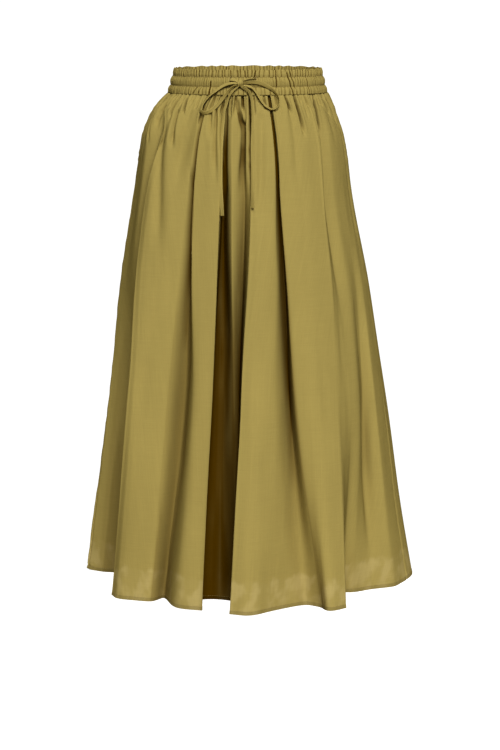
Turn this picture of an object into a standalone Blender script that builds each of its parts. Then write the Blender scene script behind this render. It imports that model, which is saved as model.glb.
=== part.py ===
"""A-line skirt: two gathered panels, a shirred waistband and a drawstring tied in a bow.

Frame: metres, +Z up, origin in the middle of the waistband, front towards -Y, +X to the right when
the front is looked at. The cloth hangs as it does when the skirt is worn, and is open at both ends.
"""

from collections import namedtuple

import bpy
import bmesh
import numpy as np
from mathutils import Vector

MM = 0.001

Outline = namedtuple("Outline", "height left right front back")
Fold = namedtuple("Fold", "name bearings outs")
BandRow = namedtuple("BandRow", "height out_mm width")

# Driving dimensions, in metres.
WAIST_TOP = 0.020           # top edge of the waistband above the origin
WAIST_SEAM = -0.0207        # lower edge of the waistband
WAIST_HALF_WIDTH = 0.131    # of the waistband at its drawstring channel
WAIST_HALF_DEPTH = 0.097
HEM_HEIGHT = -0.880         # lower edge of the skirt
HEM_ALLOWANCE = 0.0065      # height of the turned hem
CLOTH = 0.0015              # wall of one layer of cloth
TURNED_CLOTH = 0.0026       # wall where the hem is turned up
SEAM_GAP = 0.0003           # between pieces that are sewn together
BAND_WALL = 0.0032          # gathered waistband with its elastic
CORD_DIAMETER = 0.0030      # tube that stands for the flat tie
CORD_PITCH = 0.0085         # between two points of a tube

# The outline that the folds stand on, a row for each height. Half widths and depths in metres.
OUTLINE = (
    Outline(-0.021, 0.137, 0.137, 0.100, 0.098),
    Outline(-0.032, 0.149, 0.142, 0.105, 0.106),
    Outline(-0.050, 0.165, 0.150, 0.112, 0.116),
    Outline(-0.100, 0.186, 0.166, 0.127, 0.137),
    Outline(-0.200, 0.201, 0.180, 0.146, 0.160),
    Outline(-0.350, 0.225, 0.210, 0.167, 0.178),
    Outline(-0.500, 0.243, 0.233, 0.187, 0.194),
    Outline(-0.700, 0.267, 0.263, 0.213, 0.219),
    Outline(-0.880, 0.290, 0.294, 0.236, 0.243),
)

# Lines of the folds, in the order in which the cloth passes them. At the waist seam, stomach, hip,
# knee and hem, bearings are degrees from the middle of the front towards +X, and outs say how far the line
# stands out of the outline in millimetres. Lines at nearly one bearing make a fold that overhangs.
FOLD_HEIGHTS = (-0.021, -0.080, -0.200, -0.500, -0.880)
FRONT_FOLDS = (
    Fold("left_seam", (-98.0, -98.0, -98.0, -98.0, -98.0), (0, 0, 0, 0, 3)),
    Fold("left_tuck_rear", (-87.0, -82.0, -86.0, -94.0, -94.5), (-3, -6, -9, -16, -26)),
    Fold("left_tuck_deep", (-77.0, -67.0, -70.0, -89.0, -93.0), (0, -1, -5, -42, -58)),
    Fold("left_tuck_floor", (-71.0, -56.5, -59.5, -69.0, -82.0), (-6, -12, -18, -52, -76)),
    Fold("left_fold_edge", (-66.0, -50.5, -55.0, -49.5, -57.0), (1, 6, 12, 24, -8)),
    Fold("left_fold_rise", (-60.0, -46.0, -50.0, -46.0, -51.5), (1, 6, 12, 21, -5)),
    Fold("left_fold_crest", (-46.5, -40.5, -41.0, -42.0, -45.0), (1, 5, 8, 11, -16)),
    Fold("left_fold_fall", (-28.2, -28.4, -30.6, -33.5, -38.5), (0, 0, -1, -7, -30)),
    Fold("left_trough", (-24.6, -25.2, -26.9, -29.4, -37.0), (-5, -10, -16, -36, -56)),
    Fold("inner_crest", (-24.9, -25.7, -27.2, -22.8, -26.5), (1, 1, 0, -12, -19)),
    Fold("inner_edge", (-19.5, -16.0, -13.5, -14.4, -16.5), (0, -1, -4, -9, -17)),
    Fold("recess_left", (-17.0, -14.4, -13.5, -17.0, -20.5), (-3, -13, -26, -56, -73)),
    Fold("recess_floor", (-14.5, -12.6, -12.5, -12.5, -13.0), (-4, -14, -30, -66, -82)),
    Fold("recess_ridge", (-9.0, -8.5, -7.5, -7.0, -5.0), (0, -1, -4, -52, -72)),
    Fold("recess_right", (-3.5, -3.0, -1.5, -4.0, -4.5), (-3, -9, -20, -56, -60)),
    Fold("middle_edge", (0.5, 1.0, 1.5, -2.5, -6.0), (1, 0, -1, 1, -4)),
    Fold("middle_crest", (6.0, 6.0, 6.5, 3.5, 1.0), (1, 1, 1, 3, 1)),
    Fold("middle_fall", (12.5, 14.5, 15.2, 12.0, 11.5), (0, -1, -3, -6, -28)),
    Fold("right_trough", (14.8, 17.2, 18.9, 20.0, 22.5), (-3, -9, -15, -34, -39)),
    Fold("right_fold_edge", (15.8, 16.8, 17.8, 20.0, 26.5), (1, 1, 0, -8, -20)),
    Fold("right_fold_crest", (30.5, 30.0, 29.5, 28.0, 27.5), (1, 2, 3, 4, 3)),
    Fold("outer_fold_edge", (47.5, 46.5, 44.5, 40.0, 34.5), (1, 2, 3, 3, 3)),
    Fold("outer_tuck", (52.0, 51.0, 49.0, 48.0, 45.0), (-3, -7, -10, -2, -69)),
    Fold("right_side_rise", (58.0, 57.5, 57.0, 55.0, 51.0), (-1, -1, -3, -4, -59)),
    Fold("right_side_dip", (68.0, 67.5, 66.5, 65.5, 61.0), (-1, -1, -2, -18, -46)),
    Fold("right_side_crest", (76.0, 75.5, 75.0, 69.0, 70.0), (0, 0, -1, -3, -20)),
    Fold("right_seam", (82.0, 82.0, 82.0, 82.0, 82.0), (0, 0, 0, -1, -8)),
)
BACK_FOLDS = (
    Fold("right_side_turn", (88.0, 88.0, 88.0, 88.5, 89.0), (0, 0, 0, 0, 1)),
    Fold("side_crest", (94.0, 94.0, 94.0, 95.0, 96.0), (1, 1, 2, 3, 3)),
    Fold("side_trough", (103.0, 103.0, 103.0, 104.0, 105.0), (-3, -5, -8, -20, -36)),
    Fold("first_rise", (114.0, 114.5, 115.0, 117.0, 119.0), (1, 1, 2, 2, 2)),
    Fold("first_fall", (122.0, 122.5, 123.0, 125.0, 127.0), (1, 1, 1, 0, -4)),
    Fold("first_trough", (130.0, 130.5, 131.0, 132.0, 133.0), (-3, -6, -12, -34, -62)),
    Fold("second_rise", (141.0, 141.5, 143.0, 146.0, 148.0), (1, 1, 1, 1, 0)),
    Fold("second_fall", (150.0, 150.5, 152.0, 154.0, 156.0), (1, 1, 2, 3, 2)),
    Fold("second_trough", (159.0, 159.5, 161.0, 163.0, 164.0), (-3, -5, -10, -28, -50)),
    Fold("middle_rise", (171.0, 171.5, 173.0, 175.0, 176.0), (1, 1, 2, 2, 3)),
    Fold("middle_fall", (180.0, 180.5, 182.0, 184.0, 186.0), (1, 1, 1, -2, -5)),
    Fold("middle_trough", (189.0, 189.5, 190.0, 192.0, 194.0), (-3, -7, -14, -40, -70)),
    Fold("third_rise", (200.0, 200.5, 202.0, 205.0, 207.0), (1, 1, 1, 1, 0)),
    Fold("third_fall", (209.0, 209.5, 211.0, 213.0, 215.0), (1, 1, 2, 2, 3)),
    Fold("third_trough", (219.0, 219.5, 220.0, 222.0, 224.0), (-3, -5, -9, -26, -46)),
    Fold("last_crest", (230.0, 230.5, 231.0, 233.0, 235.0), (1, 1, 2, 2, 2)),
    Fold("last_trough", (240.0, 240.5, 241.0, 243.0, 245.0), (-3, -5, -8, -18, -30)),
    Fold("left_side_crest", (251.0, 251.0, 251.0, 252.0, 253.0), (1, 1, 1, 1, 0)),
)
STEPS_PER_FOLD_LINE = 3
RING_HEIGHTS = (-0.045, -0.080, -0.130, -0.200, -0.290, -0.390, -0.500, -0.620, -0.750)

# Outer profile of the waistband from its lower edge to its top: three puffs between two stitch rows.
# A width is the share of the full width that is left at a height.
BAND_PROFILE = (
    BandRow(WAIST_SEAM, 5.0, 1.000),
    BandRow(-0.0150, 4.6, 1.000),
    BandRow(-0.0095, 2.9, 0.996),
    BandRow(-0.0075, 1.4, 0.993),
    BandRow(-0.0050, 2.3, 0.990),
    BandRow(0.0010, 2.9, 0.983),
    BandRow(0.0065, 1.7, 0.973),
    BandRow(0.0090, 0.3, 0.969),
    BandRow(0.0125, 0.9, 0.967),
    BandRow(WAIST_TOP, -0.6, 0.966),
)
BAND_STEPS = 56

# The drawstring. Each route starts beside the knot, and its points are chosen by hand.
KNOT_CENTRE = (-0.0126, -0.1042, -0.0005)
KNOT_HALF_SIZES = (0.0052, 0.0042, 0.0056)
ROUTES = {
    "drawstring_lead_left": (
        (-0.0181, -0.1040, 0.0030), (-0.0235, -0.1015, 0.0047), (-0.0290, -0.0986, 0.0052)),
    "drawstring_lead_right": (
        (-0.0071, -0.1045, 0.0030), (0.0010, -0.1030, 0.0052), (0.0080, -0.1018, 0.0062),
        (0.0135, -0.1002, 0.0062)),
    "drawstring_loop_left": (
        (-0.0183, -0.1050, -0.0005), (-0.0245, -0.1035, -0.0005), (-0.0330, -0.1005, -0.0020),
        (-0.0430, -0.0985, -0.0065), (-0.0540, -0.0980, -0.0140), (-0.0635, -0.0957, -0.0215),
        (-0.0695, -0.0956, -0.0280), (-0.0765, -0.0978, -0.0385), (-0.0775, -0.1020, -0.0465),
        (-0.0720, -0.1055, -0.0495), (-0.0626, -0.1072, -0.0464), (-0.0533, -0.1055, -0.0390),
        (-0.0443, -0.1030, -0.0293), (-0.0371, -0.1020, -0.0202), (-0.0301, -0.1025, -0.0115),
        (-0.0240, -0.1045, -0.0060), (-0.0182, -0.1060, -0.0040)),
    "drawstring_loop_right": (
        (-0.0070, -0.1050, -0.0005), (0.0020, -0.1045, 0.0008), (0.0123, -0.1030, 0.0010),
        (0.0233, -0.1020, -0.0012), (0.0335, -0.1005, -0.0063), (0.0423, -0.1000, -0.0121),
        (0.0486, -0.0997, -0.0194), (0.0516, -0.1012, -0.0252), (0.0521, -0.1047, -0.0341),
        (0.0466, -0.1077, -0.0420), (0.0385, -0.1080, -0.0427), (0.0304, -0.1087, -0.0380),
        (0.0233, -0.1072, -0.0298), (0.0173, -0.1050, -0.0200), (0.0113, -0.1045, -0.0112),
        (0.0032, -0.1062, -0.0055), (-0.0071, -0.1062, -0.0040)),
    "drawstring_tail_left": (
        (-0.0160, -0.1040, -0.0062), (-0.0225, -0.1040, -0.0120), (-0.0290, -0.1035, -0.0195),
        (-0.0325, -0.1030, -0.0270), (-0.0350, -0.1035, -0.0350), (-0.0388, -0.1050, -0.0448),
        (-0.0411, -0.1085, -0.0628), (-0.0436, -0.1165, -0.0922), (-0.0448, -0.1240, -0.1167),
        (-0.0454, -0.1292, -0.1427), (-0.0448, -0.1345, -0.1770), (-0.0430, -0.1380, -0.2006),
        (-0.0419, -0.1390, -0.2176)),
    "drawstring_tail_right": (
        (-0.0088, -0.1056, -0.0072), (-0.0030, -0.1074, -0.0098), (0.0022, -0.1078, -0.0143),
        (0.0053, -0.1075, -0.0208), (0.0073, -0.1092, -0.0297), (0.0083, -0.1130, -0.0410),
        (0.0090, -0.1178, -0.0555), (0.0088, -0.1255, -0.0797), (0.0083, -0.1312, -0.1040),
        (0.0083, -0.1372, -0.1310), (0.0083, -0.1420, -0.1577), (0.0083, -0.1450, -0.1756),
        (0.0088, -0.1498, -0.2039)),
}

CLOTH_COLOUR = (0.36, 0.29, 0.09, 1.0)
BAND_COLOUR = (0.33, 0.26, 0.085, 1.0)
TIE_COLOUR = (0.38, 0.31, 0.11, 1.0)


def clear_scene():
    """Remove every object that the scene starts with."""
    for thing in list(bpy.data.objects):
        bpy.data.objects.remove(thing, do_unlink=True)


def smooth_values(places, values, at):
    """Read a smooth curve through values at falling places, which never overshoots a value."""
    x = np.array(places[::-1], float)
    y = np.array(values[::-1], float)
    run = np.diff(x)
    slope = np.diff(y) / run
    tangent = np.zeros_like(y)
    same_way = slope[1:] * slope[:-1] > 0
    total = np.where(same_way, slope[1:] + slope[:-1], 1.0)
    tangent[1:-1] = np.where(same_way, 2 * slope[1:] * slope[:-1] / total, 0.0)
    tangent[0] = slope[0]
    tangent[-1] = slope[-1]
    k = np.clip(np.searchsorted(x, at) - 1, 0, len(run) - 1)
    t = np.clip((at - x[k]) / run[k], 0.0, 1.0)
    start = (1 + 2 * t) * (1 - t) ** 2 * y[k] + t * (1 - t) ** 2 * run[k] * tangent[k]
    end = t * t * (3 - 2 * t) * y[k + 1] + t * t * (t - 1) * run[k] * tangent[k + 1]
    return start + end


def smooth_path(points, steps, closed):
    """Pass a centripetal Catmull-Rom curve through points, with some steps from each to the next."""
    p = np.asarray(points, float)
    if closed:
        p = np.vstack([p[-1:], p, p[:2]])
    else:
        p = np.vstack([2 * p[0] - p[1], p, 2 * p[-1] - p[-2]])
    knots = np.concatenate([[0], np.cumsum(np.sqrt(np.linalg.norm(np.diff(p, axis=0), axis=1)))])
    pieces = []
    for i in range(1, len(p) - 2):
        t0, t1, t2, t3 = knots[i - 1:i + 3]
        t = np.linspace(t1, t2, steps, endpoint=False)[:, None]
        a1 = ((t1 - t) * p[i - 1] + (t - t0) * p[i]) / (t1 - t0)
        a2 = ((t2 - t) * p[i] + (t - t1) * p[i + 1]) / (t2 - t1)
        a3 = ((t3 - t) * p[i + 1] + (t - t2) * p[i + 2]) / (t3 - t2)
        b1 = ((t2 - t) * a1 + (t - t0) * a2) / (t2 - t0)
        b2 = ((t3 - t) * a2 + (t - t1) * a3) / (t3 - t1)
        pieces.append(((t2 - t) * b1 + (t - t1) * b2) / (t2 - t1))
    if not closed:
        pieces.append(p[-2:-1])
    return np.vstack(pieces)


def outline_point(bearings, outs, half_sizes):
    """Points at bearings in degrees on an oval, moved out of it along its normal."""
    left, right, front, back = half_sizes
    angle = np.radians(bearings)
    wide = np.where(np.sin(angle) < 0, left, right)
    deep = np.where(np.cos(angle) > 0, front, back)
    place = np.stack([wide * np.sin(angle), -deep * np.cos(angle)], axis=1)
    normal = np.stack([np.sin(angle) / wide, -np.cos(angle) / deep], axis=1)
    normal /= np.linalg.norm(normal, axis=1)[:, None]
    return place + np.asarray(outs)[:, None] * normal


def fold_ring(height):
    """One level section through the cloth, as points round the whole skirt from the left seam."""
    heights = [row.height for row in OUTLINE]
    half_sizes = [smooth_values(heights, sizes, height) for sizes in tuple(zip(*OUTLINE))[1:]]
    folds = FRONT_FOLDS + BACK_FOLDS
    bearings = [smooth_values(FOLD_HEIGHTS, fold.bearings, height) for fold in folds]
    outs = [smooth_values(FOLD_HEIGHTS, fold.outs, height) * MM for fold in folds]
    flat = smooth_path(outline_point(bearings, outs, half_sizes), STEPS_PER_FOLD_LINE, True)
    return np.column_stack([flat, np.full(len(flat), height)])


def ring_heights():
    """Heights of the sections from the waist seam to the hem, close together at the turned hem."""
    hem_top = HEM_HEIGHT + HEM_ALLOWANCE
    step = 0.0008
    return (WAIST_SEAM - SEAM_GAP,) + RING_HEIGHTS + (hem_top + step, hem_top, HEM_HEIGHT)


def cloth_grids():
    """Outer and inner faces of the whole skirt, as arrays of rows of points."""
    heights = ring_heights()
    outer = np.array([fold_ring(height) for height in heights])
    around = np.roll(outer, -1, axis=1) - np.roll(outer, 1, axis=1)
    down = np.gradient(outer, axis=0)
    normal = np.cross(down, around)
    normal /= np.linalg.norm(normal, axis=2)[:, :, None]
    thickness = np.where(np.array(heights) > HEM_HEIGHT + HEM_ALLOWANCE + MM / 2, CLOTH, TURNED_CLOTH)
    level = normal * (1, 1, 0)
    level /= np.linalg.norm(level, axis=2)[:, :, None]
    inner = outer - level * thickness[:, None, None]
    return outer, inner


def make_object(name, mesh, colour, roughness):
    """Link a mesh as a smooth shaded object with a material of its own."""
    thing = bpy.data.objects.new(name, mesh)
    bpy.context.scene.collection.objects.link(thing)
    material = bpy.data.materials.new(name)
    material.use_nodes = True
    shader = material.node_tree.nodes["Principled BSDF"]
    shader.inputs["Base Color"].default_value = colour
    shader.inputs["Roughness"].default_value = roughness
    shader.inputs["Metallic"].default_value = 0.0
    mesh.materials.append(material)
    return thing


def mesh_from_faces(name, points, faces):
    """A mesh with outward faces, smooth but for its sharp rims."""
    mesh = bpy.data.meshes.new(name)
    mesh.from_pydata([tuple(p) for p in points], [], faces)
    work = bmesh.new()
    work.from_mesh(mesh)
    bmesh.ops.recalc_face_normals(work, faces=work.faces)
    work.to_mesh(mesh)
    work.free()
    mesh.shade_smooth()
    mesh.set_sharp_from_angle(angle=np.radians(60))
    return mesh


def wall(name, outer, inner, colour):
    """Close two grids of points into one panel of cloth with four edges."""
    rows, columns = outer.shape[:2]
    count = rows * columns
    points = np.vstack([outer.reshape(-1, 3), inner.reshape(-1, 3)])
    faces = []
    for r in range(rows - 1):
        for c in range(columns - 1):
            a = r * columns + c
            b = a + columns
            faces.append((a, b, b + 1, a + 1))
            faces.append((count + a, count + a + 1, count + b + 1, count + b))
    for c in range(columns - 1):
        low = (rows - 1) * columns + c
        faces.append((c, c + 1, count + c + 1, count + c))
        faces.append((low + 1, low, count + low, count + low + 1))
    for r in range(rows - 1):
        left = r * columns
        right = left + columns - 1
        faces.append((left, count + left, count + left + columns, left + columns))
        faces.append((right + columns, count + right + columns, count + right, right))
    return make_object(name, mesh_from_faces(name, points, faces), colour, 0.85)


def open_seam(grid):
    """Draw the first and last column of a panel in by half the seam gap."""
    cut = grid.copy()
    for edge, beside in ((0, 1), (-1, -2)):
        inward = grid[:, beside] - grid[:, edge]
        inward /= np.linalg.norm(inward, axis=1)[:, None]
        cut[:, edge] += inward * SEAM_GAP / 2
    return cut


def build_panels():
    """Front and back panels, cut from the same rings at the two side seams."""
    outer, inner = cloth_grids()
    right_seam = (len(FRONT_FOLDS) - 1) * STEPS_PER_FOLD_LINE
    around = outer.shape[1]
    spans = {
        "front_panel": np.arange(0, right_seam + 1),
        "back_panel": np.arange(right_seam, around + 1) % around,
    }
    for name, columns in spans.items():
        wall(name, open_seam(outer[:, columns]), open_seam(inner[:, columns]), CLOTH_COLOUR)


def build_waistband():
    """A ring with the puffed outer profile and a plain inner face."""
    bearing = np.arange(BAND_STEPS) * 360 / BAND_STEPS
    oval = (WAIST_HALF_WIDTH, WAIST_HALF_WIDTH, WAIST_HALF_DEPTH, WAIST_HALF_DEPTH)
    loops = []
    inner_rows = (BAND_PROFILE[-1], BAND_PROFILE[3], BAND_PROFILE[0])
    for rows, inset in ((BAND_PROFILE, 0.0), (inner_rows, BAND_WALL)):
        for row in rows:
            flat = outline_point(bearing, np.full(BAND_STEPS, row.out_mm * MM - inset), oval)
            loops.append(np.column_stack([flat * (row.width, 1), np.full(BAND_STEPS, row.height)]))
    faces = []
    for k in range(len(loops)):
        here = k * BAND_STEPS
        there = (k + 1) % len(loops) * BAND_STEPS
        for i in range(BAND_STEPS):
            j = (i + 1) % BAND_STEPS
            faces.append((here + i, here + j, there + j, there + i))
    mesh = mesh_from_faces("waistband", np.vstack(loops), faces)
    make_object("waistband", mesh, BAND_COLOUR, 0.85)


def build_knot():
    """The knot of the bow, a rounded block."""
    work = bmesh.new()
    bmesh.ops.create_uvsphere(work, u_segments=12, v_segments=8, radius=1.0)
    for vertex in work.verts:
        square = Vector([np.sign(v) * abs(v) ** 0.75 for v in vertex.co])
        vertex.co = Vector([s * h + m for s, h, m in zip(square, KNOT_HALF_SIZES, KNOT_CENTRE)])
    mesh = bpy.data.meshes.new("drawstring_knot")
    work.to_mesh(mesh)
    work.free()
    mesh.shade_smooth()
    make_object("drawstring_knot", mesh, TIE_COLOUR, 0.8)


def build_tube(name, route):
    """A round tube with filled ends along a smooth curve through the points of a route."""
    fine = smooth_path(route, 24, False)
    reach = np.concatenate([[0], np.cumsum(np.linalg.norm(np.diff(fine, axis=0), axis=1))])
    count = max(3, round(reach[-1] / CORD_PITCH) + 1)
    even = np.linspace(0, reach[-1], count)
    points = np.column_stack([np.interp(even, reach, fine[:, k]) for k in range(3)])
    curve = bpy.data.curves.new(name, "CURVE")
    curve.dimensions = "3D"
    curve.bevel_depth = CORD_DIAMETER / 2
    curve.bevel_resolution = 2
    curve.use_fill_caps = True
    spline = curve.splines.new("POLY")
    spline.points.add(count - 1)
    for place, point in zip(spline.points, points):
        place.co = (*point, 1.0)
    spline.use_smooth = True
    make_object(name, curve, TIE_COLOUR, 0.8)


def build_drawstring():
    """The knot and each stretch of tie that shows."""
    build_knot()
    for name, route in ROUTES.items():
        build_tube(name, route)


clear_scene()
build_panels()
build_waistband()
build_drawstring()
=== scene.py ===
"""A-line skirt: the looks of its cloth, waistband, drawstring and stitching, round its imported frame.

The frame has +Z up, the front towards -Y and +X to the right when the front is looked at. Lengths are
metres, or millimetres where a name ends in _mm. A bearing is in degrees from the middle of the front
towards +X. The cloth is worked out as grids: its rows are level rings and its columns run down it.
"""

from collections import namedtuple

import bmesh
import bpy
import numpy as np
from bpy.props import FloatProperty, FloatVectorProperty, PointerProperty
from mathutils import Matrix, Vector


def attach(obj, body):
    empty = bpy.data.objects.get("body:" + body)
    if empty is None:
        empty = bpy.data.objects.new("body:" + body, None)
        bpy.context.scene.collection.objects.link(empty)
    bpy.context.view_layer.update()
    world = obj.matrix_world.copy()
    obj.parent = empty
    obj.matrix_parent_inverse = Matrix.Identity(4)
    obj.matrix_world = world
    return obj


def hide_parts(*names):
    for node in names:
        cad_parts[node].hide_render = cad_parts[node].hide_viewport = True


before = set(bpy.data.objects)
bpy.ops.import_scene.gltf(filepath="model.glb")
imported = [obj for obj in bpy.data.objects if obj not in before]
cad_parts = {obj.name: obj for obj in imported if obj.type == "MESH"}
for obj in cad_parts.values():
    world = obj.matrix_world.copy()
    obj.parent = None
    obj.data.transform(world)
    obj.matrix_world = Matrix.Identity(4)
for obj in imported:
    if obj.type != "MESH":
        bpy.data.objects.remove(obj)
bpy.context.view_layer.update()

bl_info = {
    "name": "A-line skirt",
    "version": (1, 0, 0),
    "blender": (4, 5, 0),
    "location": "View3D > Sidebar > Skirt",
    "description": "Makes an A-line skirt with a shirred waistband and a drawstring tied in a bow",
    "category": "Object",
}

MM = 0.001

Outline = namedtuple("Outline", "height left right front back")
Fold = namedtuple("Fold", "name bearings outs crisp", defaults=[(0, 0, 0, 0, 0)])
BandRow = namedtuple("BandRow", "height out_mm width")
RowBand = namedtuple("RowBand", "start end rows")
Pleat = namedtuple("Pleat", "top_bearing end_bearing top end width_mm depth_mm")
Scatter = namedtuple("Scatter", "name seed count first last lengths widths_mm depths_mm")
Crease = namedtuple("Crease", "place height length width_mm depth_mm slant")
Wave = namedtuple("Wave", "across_mm down_mm height_mm phase")
Shirring = namedtuple("Shirring", "top bottom count height_mm open_top open_bottom")
Tie = namedtuple("Tie", "widths_mm turns length far_end")
Lamp = namedtuple("Lamp", "name bearing height strength spread")

# Driving dimensions.
WAIST_TOP = 0.020
WAIST_SEAM = -0.0207
WAIST_HALF_WIDTH = 0.131
WAIST_HALF_DEPTH = 0.097
SEAM_GAP = 0.0003
HEM_HEIGHT = -0.880
HEM_FOLD = -0.8735           # top edge of the turned hem
HEM_STITCHING = -0.8745
CLOTH = 0.0009
CRISP_REACH = 0.0035        # how far a crisp fold's turn reaches to each side of its line
COLUMN_STEP = 0.0038        # the widest that columns of points lie apart at the hem
WAIST_COLUMN_STEP = 0.0011  # and the widest at the waist seam
FLOOR_HEIGHT = -1.25
FLOOR_RADIUS = 1.3
FLOOR_SIDES = 96

# The outline that the folds stand on, a row for each height. Half widths and depths.
OUTLINE = (
    Outline(-0.021, 0.137, 0.137, 0.100, 0.098),
    Outline(-0.032, 0.149, 0.142, 0.105, 0.106),
    Outline(-0.050, 0.165, 0.150, 0.112, 0.116),
    Outline(-0.100, 0.186, 0.166, 0.127, 0.137),
    Outline(-0.200, 0.201, 0.180, 0.146, 0.160),
    Outline(-0.350, 0.225, 0.210, 0.167, 0.178),
    Outline(-0.500, 0.243, 0.233, 0.187, 0.194),
    Outline(-0.700, 0.267, 0.263, 0.213, 0.219),
    Outline(-0.880, 0.290, 0.294, 0.236, 0.243),
)

# Lines of the folds, as the frame has them: bearings, outs in millimetres, and how crisp the turn is,
# from 0, soft, to 1, folded, each at the waist seam, stomach, hip, knee and hem. A row without the last
# is soft all the way.
FOLD_HEIGHTS = (-0.021, -0.080, -0.200, -0.500, -0.880)
FRONT_FOLDS = (
    Fold("left_seam", (-98, -98, -98, -98, -98), (0, 0, 0, 0, 3)),
    Fold("left_tuck_rear", (-87, -82, -86, -94, -94.5), (-3, -6, -9, -16, -26)),
    Fold("left_tuck_deep", (-77, -67, -70, -89, -93), (0, -1, -5, -42, -58), (0, 0.1, 0.1, 0, 0)),
    Fold("left_tuck_floor", (-71, -56.5, -59.5, -69, -82), (-6, -12, -18, -52, -76),
         (0.5, 0.8, 0.7, 0.2, 0)),
    Fold("left_fold_edge", (-66, -50.5, -55, -49.5, -57), (1, 6, 12, 24, -8), (0.8, 0.9, 0.9, 1, 1)),
    Fold("left_fold_rise", (-60, -46, -50, -46, -51.5), (1, 6, 12, 21, -5)),
    Fold("left_fold_crest", (-46.5, -40.5, -41, -42, -45), (1, 5, 8, 11, -16)),
    Fold("left_fold_fall", (-28.2, -28.4, -30.6, -33.5, -38.5), (0, 0, -1, -7, -30),
         (0.5, 0.6, 0.5, 0.1, 0)),
    Fold("left_trough", (-24.6, -25.2, -26.9, -29.4, -37), (-5, -10, -16, -36, -56),
         (0.7, 0.8, 0.7, 0.2, 0.2)),
    Fold("inner_crest", (-24.9, -25.7, -27.2, -22.8, -26.5), (1, 1, 0, -12, -19),
         (0.8, 0.9, 0.9, 0.3, 0.1)),
    Fold("inner_edge", (-19.5, -16, -13.5, -14.4, -16.5), (0, -1, -4, -9, -17), (0.4, 0.6, 0.7, 0.8, 1)),
    Fold("recess_left", (-17, -14.4, -13.5, -17, -20.5), (-3, -13, -26, -56, -73),
         (0.5, 0.5, 0.5, 0.3, 0.3)),
    Fold("recess_floor", (-14.5, -12.6, -12.5, -12.5, -13), (-4, -14, -30, -66, -82)),
    Fold("recess_ridge", (-9, -8.5, -7.5, -7, -5), (0, -1, -4, -52, -72), (0.2, 0.2, 0.3, 0, 0)),
    Fold("recess_right", (-3.5, -3, -1.5, -4, -4.5), (-3, -9, -20, -56, -60), (0.6, 0.6, 0.7, 0.5, 0.3)),
    Fold("middle_edge", (0.5, 1, 1.5, -2.5, -6), (1, 0, -1, 1, -4), (0.8, 0.9, 1, 1, 1)),
    Fold("middle_crest", (6, 6, 6.5, 3.5, 1), (1, 1, 1, 3, 1)),
    Fold("middle_fall", (12.5, 14.5, 15.2, 12, 11.5), (0, -1, -3, -6, -28), (0.5, 0.5, 0.4, 0, 0)),
    Fold("right_trough", (14.8, 17.2, 18.9, 20, 22.5), (-3, -9, -15, -34, -39), (0.8, 0.8, 0.7, 0.2, 0)),
    Fold("right_fold_edge", (15.8, 16.8, 17.8, 20, 26.5), (1, 1, 0, -8, -20), (0.8, 0.9, 0.9, 0.6, 0.1)),
    Fold("right_fold_crest", (30.5, 30, 29.5, 28, 27.5), (1, 2, 3, 4, 3)),
    Fold("outer_fold_edge", (47.5, 46.5, 44.5, 40, 34.5), (1, 2, 3, 3, 3), (0.6, 0.8, 0.9, 0.6, 0.8)),
    Fold("outer_tuck", (52, 51, 49, 48, 45), (-3, -7, -10, -2, -69), (0.5, 0.6, 0.5, 0, 0)),
    Fold("right_side_rise", (58, 57.5, 57, 55, 51), (-1, -1, -3, -4, -59)),
    Fold("right_side_dip", (68, 67.5, 66.5, 65.5, 61), (-1, -1, -2, -18, -46), (0, 0, 0, 0.3, 0.2)),
    Fold("right_side_crest", (76, 75.5, 75, 69, 70), (0, 0, -1, -3, -20), (0, 0, 0.2, 0.6, 0.3)),
    Fold("right_seam", (82, 82, 82, 82, 82), (0, 0, 0, -1, -8)),
)
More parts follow.
